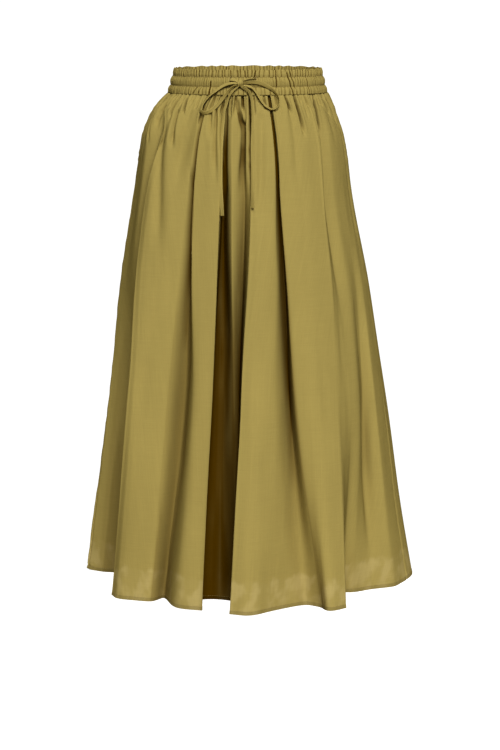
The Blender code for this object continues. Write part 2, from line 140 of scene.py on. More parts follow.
BACK_FOLDS = (
    Fold("right_side_turn", (88, 88, 88, 88.5, 89), (0, 0, 0, 0, 1)),
    Fold("side_crest", (94, 94, 94, 95, 96), (1, 1, 2, 3, 3), (0, 0.1, 0.3, 0.3, 0.2)),
    Fold("side_trough", (103, 103, 103, 104, 105), (-3, -5, -8, -20, -36), (0.4, 0.3, 0.3, 0, 0)),
    Fold("first_rise", (114, 114.5, 115, 117, 119), (1, 1, 2, 2, 2), (0.4, 0.6, 0.7, 0.6, 0.4)),
    Fold("first_fall", (122, 122.5, 123, 125, 127), (1, 1, 1, 0, -4), (0.1, 0.1, 0.1, 0, 0)),
    Fold("first_trough", (130, 130.5, 131, 132, 133), (-3, -6, -12, -34, -62), (0.5, 0.5, 0.4, 0.1, 0)),
    Fold("second_rise", (141, 141.5, 143, 146, 148), (1, 1, 1, 1, 0), (0.3, 0.4, 0.6, 0.5, 0.4)),
    Fold("second_fall", (150, 150.5, 152, 154, 156), (1, 1, 2, 3, 2), (0, 0.1, 0.2, 0.3, 0.3)),
    Fold("second_trough", (159, 159.5, 161, 163, 164), (-3, -5, -10, -28, -50), (0.5, 0.4, 0.3, 0, 0)),
    Fold("middle_rise", (171, 171.5, 173, 175, 176), (1, 1, 2, 2, 3), (0.4, 0.6, 0.7, 0.7, 0.5)),
    Fold("middle_fall", (180, 180.5, 182, 184, 186), (1, 1, 1, -2, -5)),
    Fold("middle_trough", (189, 189.5, 190, 192, 194), (-3, -7, -14, -40, -70), (0.5, 0.5, 0.4, 0.1, 0)),
    Fold("third_rise", (200, 200.5, 202, 205, 207), (1, 1, 1, 1, 0), (0.3, 0.4, 0.5, 0.5, 0.4)),
    Fold("third_fall", (209, 209.5, 211, 213, 215), (1, 1, 2, 2, 3), (0.1, 0.2, 0.4, 0.5, 0.5)),
    Fold("third_trough", (219, 219.5, 220, 222, 224), (-3, -5, -9, -26, -46), (0.4, 0.3, 0.3, 0, 0)),
    Fold("last_crest", (230, 230.5, 231, 233, 235), (1, 1, 2, 2, 2), (0.2, 0.2, 0.3, 0.3, 0.2)),
    Fold("last_trough", (240, 240.5, 241, 243, 245), (-3, -5, -8, -18, -30), (0.3, 0.2, 0.1, 0, 0)),
    Fold("left_side_crest", (251, 251, 251, 252, 253), (1, 1, 1, 1, 0), (0, 0.1, 0.1, 0.1, 0)),
)

# How many rows of points the cloth has from one height to the next.
ROW_BANDS = (
    RowBand(-0.0210, -0.0530, 16),
    RowBand(-0.0530, -0.1410, 22),
    RowBand(-0.1410, -0.8680, 56),
    RowBand(-0.8680, HEM_HEIGHT, 8),
)

# Narrow pleats that the gathering leaves below the waist seam.
FRONT_PLEATS = (
    Pleat(-88.0, -88.0, -0.021, -0.120, 2.0, 5.5),
    Pleat(-80.0, -79.0, -0.021, -0.200, 1.8, 4.5),
    Pleat(-75.0, -66.0, -0.021, -0.110, 1.7, 8.0),
    Pleat(-69.5, -62.0, -0.021, -0.090, 1.5, 6.0),
    Pleat(-57.5, -53.0, -0.021, -0.045, 1.3, 5.5),
    Pleat(-53.0, -48.0, -0.021, -0.064, 1.6, 8.0),
    Pleat(-48.5, -41.0, -0.090, -0.300, 6.0, 4.5),
    Pleat(-48.5, -46.0, -0.021, -0.038, 1.3, 4.5),
    Pleat(-45.0, -38.5, -0.021, -0.056, 1.4, 7.0),
    Pleat(-44.5, -40.0, -0.050, -0.115, 2.6, 6.0),
    Pleat(-39.0, -38.0, -0.021, -0.036, 1.2, 4.0),
    Pleat(-34.5, -33.0, -0.021, -0.046, 1.3, 4.5),
    Pleat(-28.6, -27.6, -0.021, -0.075, 1.5, 7.0),
    Pleat(-22.8, -22.4, -0.021, -0.052, 1.5, 6.0),
    Pleat(-22.0, -19.2, -0.046, -0.100, 2.0, 5.5),
    Pleat(-21.0, -20.5, -0.021, -0.044, 1.3, 5.5),
    Pleat(-18.6, -16.0, -0.030, -0.170, 2.3, 6.5),
    Pleat(-16.5, -15.8, -0.021, -0.060, 1.6, 5.5),
    Pleat(-13.5, -11.5, -0.021, -0.200, 2.4, 9.0),
    Pleat(-10.5, -10.0, -0.021, -0.060, 1.5, 7.0),
    Pleat(-8.0, -7.0, -0.021, -0.060, 1.5, 5.5),
    Pleat(-6.4, -1.8, -0.032, -0.086, 2.2, 9.0),
    Pleat(-1.8, -3.8, -0.070, -0.190, 3.0, 5.5),
    Pleat(-3.5, -3.0, -0.021, -0.050, 1.5, 6.0),
    Pleat(1.3, 1.1, -0.024, -0.200, 1.7, 10.0),
    Pleat(4.0, 4.5, -0.021, -0.060, 1.5, 4.5),
    Pleat(8.5, 6.5, -0.060, -0.240, 5.0, 3.0),
    Pleat(11.5, 11.5, -0.021, -0.045, 1.4, 5.5),
    Pleat(15.0, 17.4, -0.021, -0.180, 1.5, 5.0),
    Pleat(19.6, 19.8, -0.021, -0.042, 1.2, 4.5),
    Pleat(26.4, 28.8, -0.021, -0.050, 1.3, 6.0),
    Pleat(28.6, 27.4, -0.050, -0.190, 5.5, 3.0),
    Pleat(33.8, 35.4, -0.021, -0.094, 1.7, 9.5),
    Pleat(38.0, 38.5, -0.021, -0.036, 1.2, 4.0),
    Pleat(43.0, 43.5, -0.021, -0.042, 1.2, 4.5),
    Pleat(47.0, 45.6, -0.040, -0.250, 1.6, 5.0),
    Pleat(53.6, 50.8, -0.021, -0.094, 1.8, 9.0),
    Pleat(59.5, 60.5, -0.021, -0.046, 1.3, 4.5),
    Pleat(64.5, 67.5, -0.021, -0.060, 1.6, 7.5),
    Pleat(72.0, 74.0, -0.021, -0.080, 1.5, 5.5),
)
# Soft dents and ridges on the faces of the folds. A place is a fold line's number in the whole round,
# with a fraction for how far it is to the next. A slant of 1 goes as far across as down.
CREASES = (
    Crease(6.5, -0.105, 0.170, 13.0, -7.5, -0.06),
    Crease(7.4, -0.160, 0.060, 5.0, -3.5, 0.35),
    Crease(6.6, -0.330, 0.160, 9.0, -1.2, 0.06),
    Crease(5.6, -0.520, 0.220, 8.0, -1.0, -0.05),
    Crease(16.4, -0.420, 0.240, 10.0, -1.0, 0.02),
    Crease(20.4, -0.500, 0.260, 10.0, -1.2, 0.05),
    Crease(9.3, -0.640, 0.160, 8.0, 1.0, 0.04),
    Crease(17.2, -0.250, 0.160, 6.0, -1.2, 0.0),
    Crease(21.6, -0.300, 0.120, 5.0, -1.0, 0.1),
    Crease(23.6, -0.420, 0.160, 7.0, -1.4, 0.06),
    Crease(24.5, -0.650, 0.200, 8.0, 1.2, 0.05),
    Crease(24.0, -0.680, 0.340, 9.0, -7.0, 0.0),
    Crease(29.4, -0.300, 0.200, 8.0, -1.4, 0.03),
    Crease(32.5, -0.420, 0.260, 9.0, -1.2, -0.04),
    Crease(35.6, -0.250, 0.160, 7.0, -1.6, 0.05),
    Crease(38.4, -0.520, 0.280, 9.0, -1.2, 0.02),
    Crease(41.5, -0.340, 0.200, 8.0, -1.4, -0.05),
    Crease(43.2, -0.600, 0.240, 8.0, 1.2, 0.0),
)
WAVE_TOP = -0.030           # waves and seam puckers start below it
# Long shallow waves all over the cloth.
WAVES = (
    Wave(310, 420, 0.7, 0.3),
    Wave(-190, 530, 0.5, 1.7),
    Wave(97, -760, 0.35, 4.1),
    Wave(61, 300, 0.20, 2.6),
    Wave(-43, 210, 0.12, 5.2),
)
# Pleats at jittered even bearings: how long they are, and their widths and depths, from least to most.
SCATTERED = (
    Scatter("small_gathers", 5, 120, -180, 180, (0.008, 0.050), (0.9, 1.7), (0.6, 3.2)),
    Scatter("soft_ripples", 23, 26, -180, 180, (0.090, 0.320), (2.6, 5.5), (0.5, 1.5)),
    Scatter("back_pleats", 11, 26, 84, 262, (0.040, 0.170), (1.3, 1.9), (2.5, 7.5)),
)

# Outer profile of the waistband, as the frame has it: three puffs between two stitch rows. A width
# is the share of the full width that is left at a height.
BAND_PROFILE = (
    BandRow(WAIST_SEAM, 5.0, 1.000),
    BandRow(-0.0150, 4.6, 1.000),
    BandRow(-0.0095, 2.9, 0.996),
    BandRow(-0.0075, 1.4, 0.993),
    BandRow(-0.0050, 2.3, 0.990),
    BandRow(0.0010, 2.9, 0.983),
    BandRow(0.0065, 1.7, 0.973),
    BandRow(0.0090, 0.3, 0.969),
    BandRow(0.0125, 0.9, 0.967),
    BandRow(WAIST_TOP, -0.6, 0.966),
)
STITCH_ROWS = (-0.0075, 0.0090)
BAND_WALL_MM = 3.0
BAND_TOP_WALL_MM = 1.8
SEAM_LIP_MM = 6.0           # how far the gathered seam stands in from the band's lower edge
BAND_COLUMNS = 1500
BAND_ROW_BANDS = (
    RowBand(WAIST_SEAM, -0.0095, 8),
    RowBand(-0.0095, -0.0055, 6),
    RowBand(-0.0055, 0.0070, 9),
    RowBand(0.0070, 0.0110, 6),
    RowBand(0.0110, WAIST_TOP, 6),
)
BAND_INNER_ROWS = (WAIST_TOP, 0.0135, 0.0090, 0.0020, -0.0075, -0.0140, -0.0168, -0.0185, WAIST_SEAM)
BAND_CUT = (1.05, 0.042)
SHIRRING = {
    "frill": Shirring(WAIST_TOP, 0.0090, 120, 2.1, True, True),
    "casing": Shirring(0.0090, -0.0075, 210, 1.4, False, False),
    "lower_band": Shirring(-0.0075, WAIST_SEAM, 104, 1.5, False, True),
}
# Pleats that the elastic pinches into the band.
PINCHES = (
    Pleat(-28.0, -28.7, 0.000, -0.021, 1.1, 2.4),
    Pleat(-13.0, -12.5, 0.020, 0.008, 1.0, 1.92),
    Pleat(6.3, 5.0, 0.020, 0.008, 1.0, 1.92),
    Pleat(21.8, 21.6, 0.020, -0.008, 0.9, 1.6),
    Pleat(31.3, 34.6, 0.014, -0.021, 1.0, 2.08),
    Pleat(34.0, 37.0, 0.016, -0.012, 0.9, 1.44),
    Pleat(49.5, 50.7, 0.012, -0.021, 1.0, 1.92),
    Pleat(-40.0, -43.0, -0.009, -0.019, 1.3, 0.96),
    Pleat(-36.0, -38.0, -0.009, -0.018, 1.1, 0.8),
    Pleat(-58.0, -58.5, 0.020, 0.008, 1.0, 1.28),
    Pleat(60.0, 62.0, 0.018, -0.020, 1.0, 1.44),
    Pleat(124.0, 126.0, 0.020, -0.021, 1.0, 1.76),
    Pleat(158.0, 157.0, 0.014, -0.021, 1.1, 1.92),
    Pleat(197.0, 199.0, 0.020, -0.008, 1.0, 1.6),
    Pleat(226.0, 224.0, 0.016, -0.021, 1.0, 1.76),
)

# The drawstring. Each route is the frame's own, and starts beside the knot.
KNOT_CENTRE = (-0.0126, -0.1042, -0.0005)
KNOT_HALF_SIZES = (0.0054, 0.0046, 0.0060)
ROUTES = {
    "drawstring_lead_left": (
        (-0.0181, -0.1040, 0.0030), (-0.0235, -0.1015, 0.0047), (-0.0290, -0.0986, 0.0052)),
    "drawstring_lead_right": (
        (-0.0071, -0.1045, 0.0030), (0.0010, -0.1030, 0.0052), (0.0080, -0.1018, 0.0062),
        (0.0135, -0.1002, 0.0062)),
    "drawstring_loop_left": (
        (-0.0183, -0.1050, -0.0005), (-0.0245, -0.1035, -0.0005), (-0.0330, -0.1005, -0.0020),
        (-0.0430, -0.0985, -0.0065), (-0.0540, -0.0980, -0.0140), (-0.0635, -0.0957, -0.0215),
        (-0.0695, -0.0956, -0.0280), (-0.0765, -0.0978, -0.0385), (-0.0775, -0.1020, -0.0465),
        (-0.0720, -0.1055, -0.0495), (-0.0626, -0.1072, -0.0464), (-0.0533, -0.1055, -0.0390),
        (-0.0443, -0.1030, -0.0293), (-0.0371, -0.1020, -0.0202), (-0.0301, -0.1025, -0.0115),
        (-0.0240, -0.1045, -0.0060), (-0.0182, -0.1060, -0.0040)),
    "drawstring_loop_right": (
        (-0.0070, -0.1050, -0.0005), (0.0020, -0.1045, 0.0008), (0.0123, -0.1030, 0.0010),
        (0.0233, -0.1020, -0.0012), (0.0335, -0.1005, -0.0063), (0.0423, -0.1000, -0.0121),
        (0.0486, -0.0997, -0.0194), (0.0516, -0.1012, -0.0252), (0.0521, -0.1047, -0.0341),
        (0.0466, -0.1077, -0.0420), (0.0385, -0.1080, -0.0427), (0.0304, -0.1087, -0.0380),
        (0.0233, -0.1072, -0.0298), (0.0173, -0.1050, -0.0200), (0.0113, -0.1045, -0.0112),
        (0.0032, -0.1062, -0.0055), (-0.0071, -0.1062, -0.0040)),
    "drawstring_tail_left": (
        (-0.0160, -0.1040, -0.0062), (-0.0225, -0.1040, -0.0120), (-0.0290, -0.1035, -0.0195),
        (-0.0325, -0.1030, -0.0270), (-0.0350, -0.1035, -0.0350), (-0.0388, -0.1050, -0.0448),
        (-0.0411, -0.1085, -0.0628), (-0.0436, -0.1165, -0.0922), (-0.0448, -0.1240, -0.1167),
        (-0.0454, -0.1292, -0.1427), (-0.0448, -0.1345, -0.1770), (-0.0430, -0.1380, -0.2006),
        (-0.0419, -0.1390, -0.2176)),
    "drawstring_tail_right": (
        (-0.0088, -0.1056, -0.0072), (-0.0030, -0.1074, -0.0098), (0.0022, -0.1078, -0.0143),
        (0.0053, -0.1075, -0.0208), (0.0073, -0.1092, -0.0297), (0.0083, -0.1130, -0.0410),
        (0.0090, -0.1178, -0.0555), (0.0088, -0.1255, -0.0797), (0.0083, -0.1312, -0.1040),
        (0.0083, -0.1372, -0.1310), (0.0083, -0.1420, -0.1577), (0.0083, -0.1450, -0.1756),
        (0.0088, -0.1498, -0.2039)),
}
# The flat tie along each route, in even steps from the knot: its width, how far its face is turned
# from the front, and its length and far end.
TIE_THICKNESS = 0.0013
TIE_STEP = 0.0011
TIES = {
    "drawstring_lead_left": Tie((4.5, 5.0, 5.5), (45, 45, 40), None, None),
    "drawstring_lead_right": Tie((4.0, 4.5, 5.0), (50, 50, 45), None, None),
    "drawstring_loop_left": Tie(
        (4.5, 6.0, 6.5, 6.5, 6.5, 7.0, 7.0, 7.0, 6.5, 6.0, 4.0),
        (50, 45, 50, 60, 80, 50, 22, 22, 30, 45, 50), 0.160, "object"),
    "drawstring_loop_right": Tie(
        (4.5, 6.5, 7.5, 7.5, 7.0, 6.5, 6.0, 6.0, 6.0, 5.5, 4.0),
        (45, 25, 15, 25, 62, 84, 72, 60, 58, 58, 60), 0.155, "object"),
    "drawstring_tail_left": Tie(
        (4.0, 5.5, 7.0, 7.5, 8.0, 8.0, 7.5, 7.5, 7.5),
        (60, 55, 45, 35, 28, 18, 22, 32, 40), 0.222, "bare"),
    "drawstring_tail_right": Tie(
        (4.5, 6.0, 6.5, 7.0, 7.0, 7.0, 7.0, 7.0, 7.0),
        (35, 35, 35, 32, 28, 28, 32, 40, 50), 0.213, "bare"),
}
BUTTONHOLES = {
    "buttonhole_left": (-12.6, 0.0042),
    "buttonhole_right": (5.9, 0.0050),
}

# Sewing thread.
STITCH = 0.0024
STITCH_GAP = 0.0007
THREAD = 0.00022

# Camera and light.
CAMERA_PLACE = (0.004, -3.4, 0.155)
CAMERA_TILT = 11.147        # degrees below level
CAMERA_LENS_MM = 94.35
CAMERA_SENSOR_MM = 36.0
LAMP_COLOUR = (1.0, 0.985, 0.99)
FILL_COLOUR = (1.0, 0.88, 0.45, 1.0)
WHITE = (1.0, 1.0, 1.0, 1.0)
LAMPS = (
    Lamp("key_softbox", 8.0, 34.0, 3.80, 28.0),
    Lamp("back_softbox", 190.0, 35.0, 2.6, 60.0),
)


def colour_property(name, description, default):
    """A colour that can be set."""
    return FloatVectorProperty(
        name=name, description=description, subtype="COLOR", size=3, min=0.0, max=1.0, default=default)


class ClothSettings(bpy.types.PropertyGroup):
    """Colours and textures of the skirt's cloth, and its painted fold shade and painted hem light."""
    colour: colour_property("Cloth colour", "Olive of the poplin", (0.350, 0.285, 0.098))
    # Painted light: a lighter tone near the hem, for light shining through the single layer.
    painted_sheer_light: colour_property(
        "Sheer colour", "Lighter tone of the single layer near the hem", (0.418, 0.344, 0.144))
    thread_colour: colour_property("Thread colour", "Sewing thread", (0.300, 0.225, 0.070))
    # Painted shade: the colour that the cloth takes where its openness is low, deep in a fold.
    painted_fold_shade: colour_property(
        "Fold colour", "Deep warm tone of cloth that lies inside a fold", (0.072, 0.036, 0.000))
    weave_mm: FloatProperty(
        name="Weave", description="Millimetres from one thread to the next", default=0.5, min=0.1)
    weave_bump: FloatProperty(
        name="Weave relief", description="Height of the threads", unit="LENGTH", default=0.00012)
    # Painted shade: openness values between which the cloth goes from painted fold shade to full colour.
    fold_closed: FloatProperty(
        name="Closed fold", description="Openness below which the cloth has its deep tone",
        default=0.24, min=0.0, max=1.0)
    fold_open: FloatProperty(
        name="Open fold", description="Openness above which the cloth has its full colour",
        default=0.97, min=0.0, max=1.0)
    # Painted light: the height below which light through the single layer is painted.
    painted_sheer_top: FloatProperty(
        name="Sheer from", description="Height below which the cloth is lighter", unit="LENGTH",
        default=-0.822)


class StageSettings(bpy.types.PropertyGroup):
    """Strengths of the lights and the tone of the floor."""
    light: FloatProperty(
        name="Light", description="Strength of all the lamps", default=1.0, min=0.0)
    contrast_gamma: FloatProperty(
        name="Gamma", description="Gamma of the view, deeper in the shade when lower", default=0.85)
    exposure: FloatProperty(
        name="Exposure", description="Exposure of the view in stops", default=0.10)
    fill_strength: FloatProperty(
        name="Fill", description="Strength of the light from all round", default=0.12, min=0.0)
    floor_tone: FloatProperty(
        name="Floor tone", description="Lightness of the floor", default=0.30, min=0.0, max=1.0)
    floor_glow: FloatProperty(
        name="Floor glow", description="Light that the floor gives out", default=0.82, min=0.0)


def smooth_values(places, values, at):
    """A curve through values at falling places, a cubic from each to the next, with no overshoot.

    The slope at a value is the harmonic mean of the slopes beside it, or level at a turning point.
    """
    x = np.array(places[::-1], float)
    y = np.array(values[::-1], float)
    run = np.diff(x)
    slope = np.diff(y) / run
    tangent = np.zeros_like(y)
    same_way = slope[1:] * slope[:-1] > 0
    total = np.where(same_way, slope[1:] + slope[:-1], 1.0)
    tangent[1:-1] = np.where(same_way, 2 * slope[1:] * slope[:-1] / total, 0.0)
    tangent[0] = slope[0]
    tangent[-1] = slope[-1]
    at = np.asarray(at, float)
    k = np.clip(np.searchsorted(x, at) - 1, 0, len(run) - 1)
    t = np.clip((at - x[k]) / run[k], 0.0, 1.0)
    start = (1 + 2 * t) * (1 - t) ** 2 * y[k] + t * (1 - t) ** 2 * run[k] * tangent[k]
    end = t * t * (3 - 2 * t) * y[k + 1] + t * t * (t - 1) * run[k] * tangent[k + 1]
    return start + end


def catmull_rom(p0, p1, p2, p3, share):
    """Centripetal Catmull-Rom from p1 to p2 at each share of the way, by repeated blending.

    Knots lie apart by the root of the distance between points. The points are arrays whose last axis
    is the coordinate, and the result gains an axis before it for the shares.
    """
    def gap(a, b):
        return np.sqrt(np.linalg.norm(b - a, axis=-1))[..., None, None] + 1e-9

    t0 = 0.0
    t1 = t0 + gap(p0, p1)
    t2 = t1 + gap(p1, p2)
    t3 = t2 + gap(p2, p3)
    t = t1 + (t2 - t1) * np.asarray(share)[:, None]
    p0, p1, p2, p3 = (p[..., None, :] for p in (p0, p1, p2, p3))
    a1 = ((t1 - t) * p0 + (t - t0) * p1) / (t1 - t0)
    a2 = ((t2 - t) * p1 + (t - t1) * p2) / (t2 - t1)
    a3 = ((t3 - t) * p2 + (t - t2) * p3) / (t3 - t2)
    b1 = ((t2 - t) * a1 + (t - t0) * a2) / (t2 - t0)
    b2 = ((t3 - t) * a2 + (t - t1) * a3) / (t3 - t1)
    return ((t2 - t) * b1 + (t - t1) * b2) / (t2 - t1)


def open_path(points, steps):
    """Catmull-Rom through an open row of points, with its ends carried on in a straight line."""
    p = np.asarray(points, float)
    p = np.vstack([2 * p[0] - p[1], p, 2 * p[-1] - p[-2]])
    share = np.arange(steps) / steps
    fine = catmull_rom(p[:-3], p[1:-2], p[2:-1], p[3:], share)
    return np.vstack([fine.reshape(-1, p.shape[1]), p[-2:-1]])


def reach_down(points):
    """Length from the first point of a line to each one, or the mean of it from row to row of a grid."""
    steps = np.linalg.norm(np.diff(points, axis=0), axis=-1)
    return np.concatenate([[0], np.cumsum(steps.reshape(len(steps), -1).mean(axis=1))])


def evenly(points, step):
    """Points at even lengths along a polyline, about a step apart, with its two ends."""
    reach = reach_down(points)
    even = np.linspace(0, reach[-1], max(3, round(reach[-1] / step) + 1))
    return np.column_stack([np.interp(even, reach, points[:, k]) for k in range(points.shape[1])])


def unit(vectors):
    """Vectors of length 1 along the last axis."""
    return vectors / np.maximum(np.linalg.norm(vectors, axis=-1, keepdims=True), 1e-12)


def half_sizes(heights):
    """Half widths and depths of the outline at each height: left, right, front, back."""
    falling = [row.height for row in OUTLINE]
    return [smooth_values(falling, sizes, heights) for sizes in tuple(zip(*OUTLINE))[1:]]


def outline_point(bearings, outs, sizes):
    """Points at bearings in degrees on an oval, moved out of it along its normal.

    The oval is (wide sin b, -deep cos b), and its normal (sin b / wide, -cos b / deep) made a unit.
    """
    left, right, front, back = sizes
    angle = np.radians(bearings)
    wide = np.where(np.sin(angle) < 0, left, right)
    deep = np.where(np.cos(angle) > 0, front, back)
    place = np.stack([wide * np.sin(angle), -deep * np.cos(angle)], axis=-1)
    normal = unit(np.stack([np.sin(angle) / wide, -np.cos(angle) / deep], axis=-1))
    return place + np.asarray(outs)[..., None] * normal


def row_heights(bands):
    """Heights of rows through bands one after the other, even in each, with the last band's end."""
    rows = [np.linspace(band.start, band.end, band.rows, endpoint=False) for band in bands]
    return np.concatenate(rows + [[bands[-1].end]])


def fold_controls(heights):
    """Control points of each ring, three for each fold line: before it, on it and after it.

    A soft fold's neighbours lie on the curve through the lines themselves, a quarter of the way to
    the next. A crisp one's lie a few millimetres along the straight sides, and so the turn is tight.
    """
    folds = FRONT_FOLDS + BACK_FOLDS
    bearings, outs, crisp = (
        np.stack([smooth_values(FOLD_HEIGHTS, values, heights) for values in column], axis=1)
        for column in list(zip(*folds))[1:])
    sizes = [size[:, None] for size in half_sizes(heights)]
    line = outline_point(bearings, outs * MM, sizes)
    before, after = np.roll(line, 1, axis=1), np.roll(line, -1, axis=1)
    later = np.roll(line, -2, axis=1)
    quarter = catmull_rom(before, line, after, later, [0.25, 0.75])
    soft_after = quarter[:, :, 0]
    soft_before = np.roll(quarter[:, :, 1], 1, axis=1)
    controls = []
    nearest = 0.3           # a turn takes up no more than this share of the way to the next line
    for soft, beside in ((soft_before, before), (soft_after, after)):
        away = beside - line
        length = np.linalg.norm(away, axis=-1, keepdims=True)
        turn = line + away / length * np.minimum(CRISP_REACH, nearest * length)
        controls.append(soft + (turn - soft) * crisp[..., None])
    return np.stack([controls[0], line, controls[1]], axis=2).reshape(len(heights), -1, 2)


def ring_grid(heights):
    """Level rings of the whole cloth from the left seam round, as a grid with one row for each.

    Each stretch from fold line to fold line has the same number of columns at every height, evenly
    along the cloth and closer together at both ends, where the cloth turns. Returns the grid, the length
    from the first column to each, each column's place in fold lines, and the length round each ring.
    """
    steps = 10              # points from control to control
    fewest = 6              # columns from fold line to fold line
    crowding = 0.5          # how much closer columns lie beside a fold line
    p = fold_controls(heights)
    fine = catmull_rom(np.roll(p, 1, axis=1), p, np.roll(p, -1, axis=1), np.roll(p, -2, axis=1),
                       np.arange(steps) / steps)
    folds = len(FRONT_FOLDS + BACK_FOLDS)
    fine = fine.reshape(len(heights), -1, 2)
    closed = np.concatenate([fine, fine[:, :1]], axis=1)
    reach = np.cumsum(np.linalg.norm(np.diff(closed, axis=1, prepend=closed[:, :1]), axis=2), axis=1)
    # Each line is the second of its three controls.
    at_line = (np.arange(folds + 1) * 3 + 1) * steps
    around = reach[:, -1:]
    line_reach = np.concatenate([reach[:, at_line[:-1]], around + reach[:, at_line[:1]]], axis=1)
    span = np.diff(line_reach, axis=1)
    wanted = np.maximum(span[-1] / COLUMN_STEP, span[0] / WAIST_COLUMN_STEP)
    counts = np.maximum(fewest, np.round(wanted)).astype(int)
    place = np.concatenate([i + np.arange(n) / n for i, n in enumerate(counts)])
    whole = place.astype(int)
    share = place - whole
    share = share - crowding * np.sin(2 * np.pi * share) / (2 * np.pi)
    target = line_reach[:, whole] + span[:, whole] * share
    flat = np.empty(target.shape + (2,))
    for r in range(len(heights)):
        for k in range(2):
            flat[r, :, k] = np.interp(target[r] % around[r], reach[r], closed[r, :, k])
    grid = np.concatenate([flat, np.broadcast_to(heights[:, None, None], target.shape + (1,))], axis=2)
    return grid, target - line_reach[:, :1], place, around


def grid_normals(grid):
    """Outward unit normals of a ring grid: down the cloth crossed with round it."""
    around = np.roll(grid, -1, axis=1) - np.roll(grid, 1, axis=1)
    down = np.gradient(grid, axis=0)
    return unit(np.cross(down, around))


def bell(x, middle, width):
    """A bell curve of height 1: e to the minus square of how many widths x is from the middle."""
    return np.exp(-((x - middle) / width) ** 2)


def dip(distance, width):
    """A narrow trough of depth 1 with raised lips: a bell curve less two smaller ones beside it."""
    return bell(distance, 0, width) - 0.22 * bell(np.abs(distance), 2.1 * width, 1.1 * width)


def fade(t):
    """0 below 0, 1 above 1 and a smooth step between."""
    t = np.clip(t, 0.0, 1.0)
    return t * t * (3 - 2 * t)


def trough(pleat, bearing, height, radius, widening=0.0):
    """How far down its line a pleat is at a height, from 0 to 1, and its depth beside the line in metres.

    The line runs straight from the top bearing to the end bearing, and the trough widens along it.
    """
    t = (pleat.top - height) / (pleat.top - pleat.end)
    way = np.clip(t, 0, 1)
    middle = pleat.top_bearing + (pleat.end_bearing - pleat.top_bearing) * way
    apart = (bearing - middle + 180) % 360 - 180
    width = pleat.width_mm * MM * (1 + widening * way)
    return t, pleat.depth_mm * MM * dip(np.radians(apart) * radius, width)


def pleat_depths(heights, bearing, radius, pleats):
    """Depth of the narrow pleats below the waist seam, over the whole grid.

    Each fades out over its lower part, and is held shallower by the stitching just below the seam.
    """
    held_share, seam_reach = 0.45, 0.003
    fade_in, fade_out = 0.10, 0.45      # shares of a pleat's length
    depth = np.zeros_like(bearing)
    z = heights[:, None]
    held = held_share + (1 - held_share) * fade((WAIST_SEAM - z) / seam_reach)
    for pleat in pleats:
        t, below = trough(pleat, bearing, z, radius, 0.5)
        depth += below * fade((1 - t) / fade_out) * fade((t + fade_in) / fade_in) * held
    return depth


def scattered_pleats(rows):
    """Uneven pleats at jittered even bearings, with lengths, widths and depths in the given ranges."""
    rng = np.random.default_rng(rows.seed)
    jitter = np.arange(rows.count) + rng.uniform(0.1, 0.9, rows.count)
    bearings = rows.first + jitter * (rows.last - rows.first) / rows.count
    leans = rng.uniform(-1.5, 1.5, rows.count)
    long = rows.lengths[0] + np.ptp(rows.lengths) * rng.uniform(0, 1, rows.count) ** 2
    wide = rng.uniform(*rows.widths_mm, rows.count)
    deep = rows.depths_mm[0] + np.ptp(rows.depths_mm) * rng.uniform(0, 1, rows.count) ** 1.5
    return [Pleat(b, b + lean, WAIST_SEAM, WAIST_SEAM - length, w, d)
            for b, lean, length, w, d in zip(bearings, leans, long, wide, deep)]


def crease_heights(heights, reach, place):
    """Soft dents and ridges: a bell curve across each one's line, under a smooth bump along it."""
    rise = np.zeros_like(reach)
    for crease in CREASES:
        column = int(np.argmin(np.abs(place - crease.place)))
        below = crease.height - heights[:, None]
        across = reach - reach[:, [column]] - crease.slant * below
        along = np.clip(1 - (below / (crease.length / 2)) ** 2, 0, 1) ** 2
        rise += crease.depth_mm * MM * along * bell(across, 0, crease.width_mm * MM)
    return rise


def wave_heights(heights, hem_reach):
    """Long shallow waves: sines of the place across the cloth and the height, added up."""
    rise = np.zeros((len(heights), len(hem_reach)))
    for wave in WAVES:
        turns = hem_reach[None, :] / (wave.across_mm * MM) + heights[:, None] / (wave.down_mm * MM)
        rise += wave.height_mm * MM * np.sin(2 * np.pi * turns + wave.phase)
    return rise * fade((WAVE_TOP - heights[:, None]) / 0.12)


def seam_heights(heights, reach, around, seam_columns):
    """A groove along each side seam, with small puckers slanting away from it on both sides."""
    pitch, slant = 0.017, 160.0
    pucker_height, lip_height, groove_depth = 0.00045, 0.0004, 0.0010
    z = heights[:, None]
    rise = np.zeros_like(reach)
    for column, phase in zip(seam_columns, (3, 8)):
        d = reach - reach[:, [column]]
        near = np.abs((d + around / 2) % around - around / 2)
        wobble = np.sin(z * 61 + phase) + 0.6 * np.sin(z * 143 + 2 * phase)
        pucker = np.sin(2 * np.pi * z / pitch + 2.2 * wobble + slant * near)
        rise += pucker_height * pucker * bell(near, 0.005, 0.007)
        rise += lip_height * bell(near, 0.004, 0.0022) - groove_depth * bell(near, 0, 0.0016)
    return rise * fade((WAVE_TOP - z) / 0.02)


def hem_heights(heights, hem_reach):
    """The turned hem: a slightly proud strip below a groove of stitching that ripples the cloth."""
    pitch, sway = 0.0082, 0.053
    ripple_height, groove_depth, hem_height = 0.00022, 0.00040, 0.00045
    z = heights[:, None]
    s = 2 * np.pi * hem_reach[None, :]
    ripple = np.sin(s / pitch + 1.4 * np.sin(s / sway))
    rise = ripple_height * ripple * bell(z, HEM_STITCHING, 0.007)
    rise = rise - groove_depth * bell(z, HEM_STITCHING, 0.0010)
    return rise + hem_height * fade((HEM_STITCHING + 0.0015 - z) / 0.002)


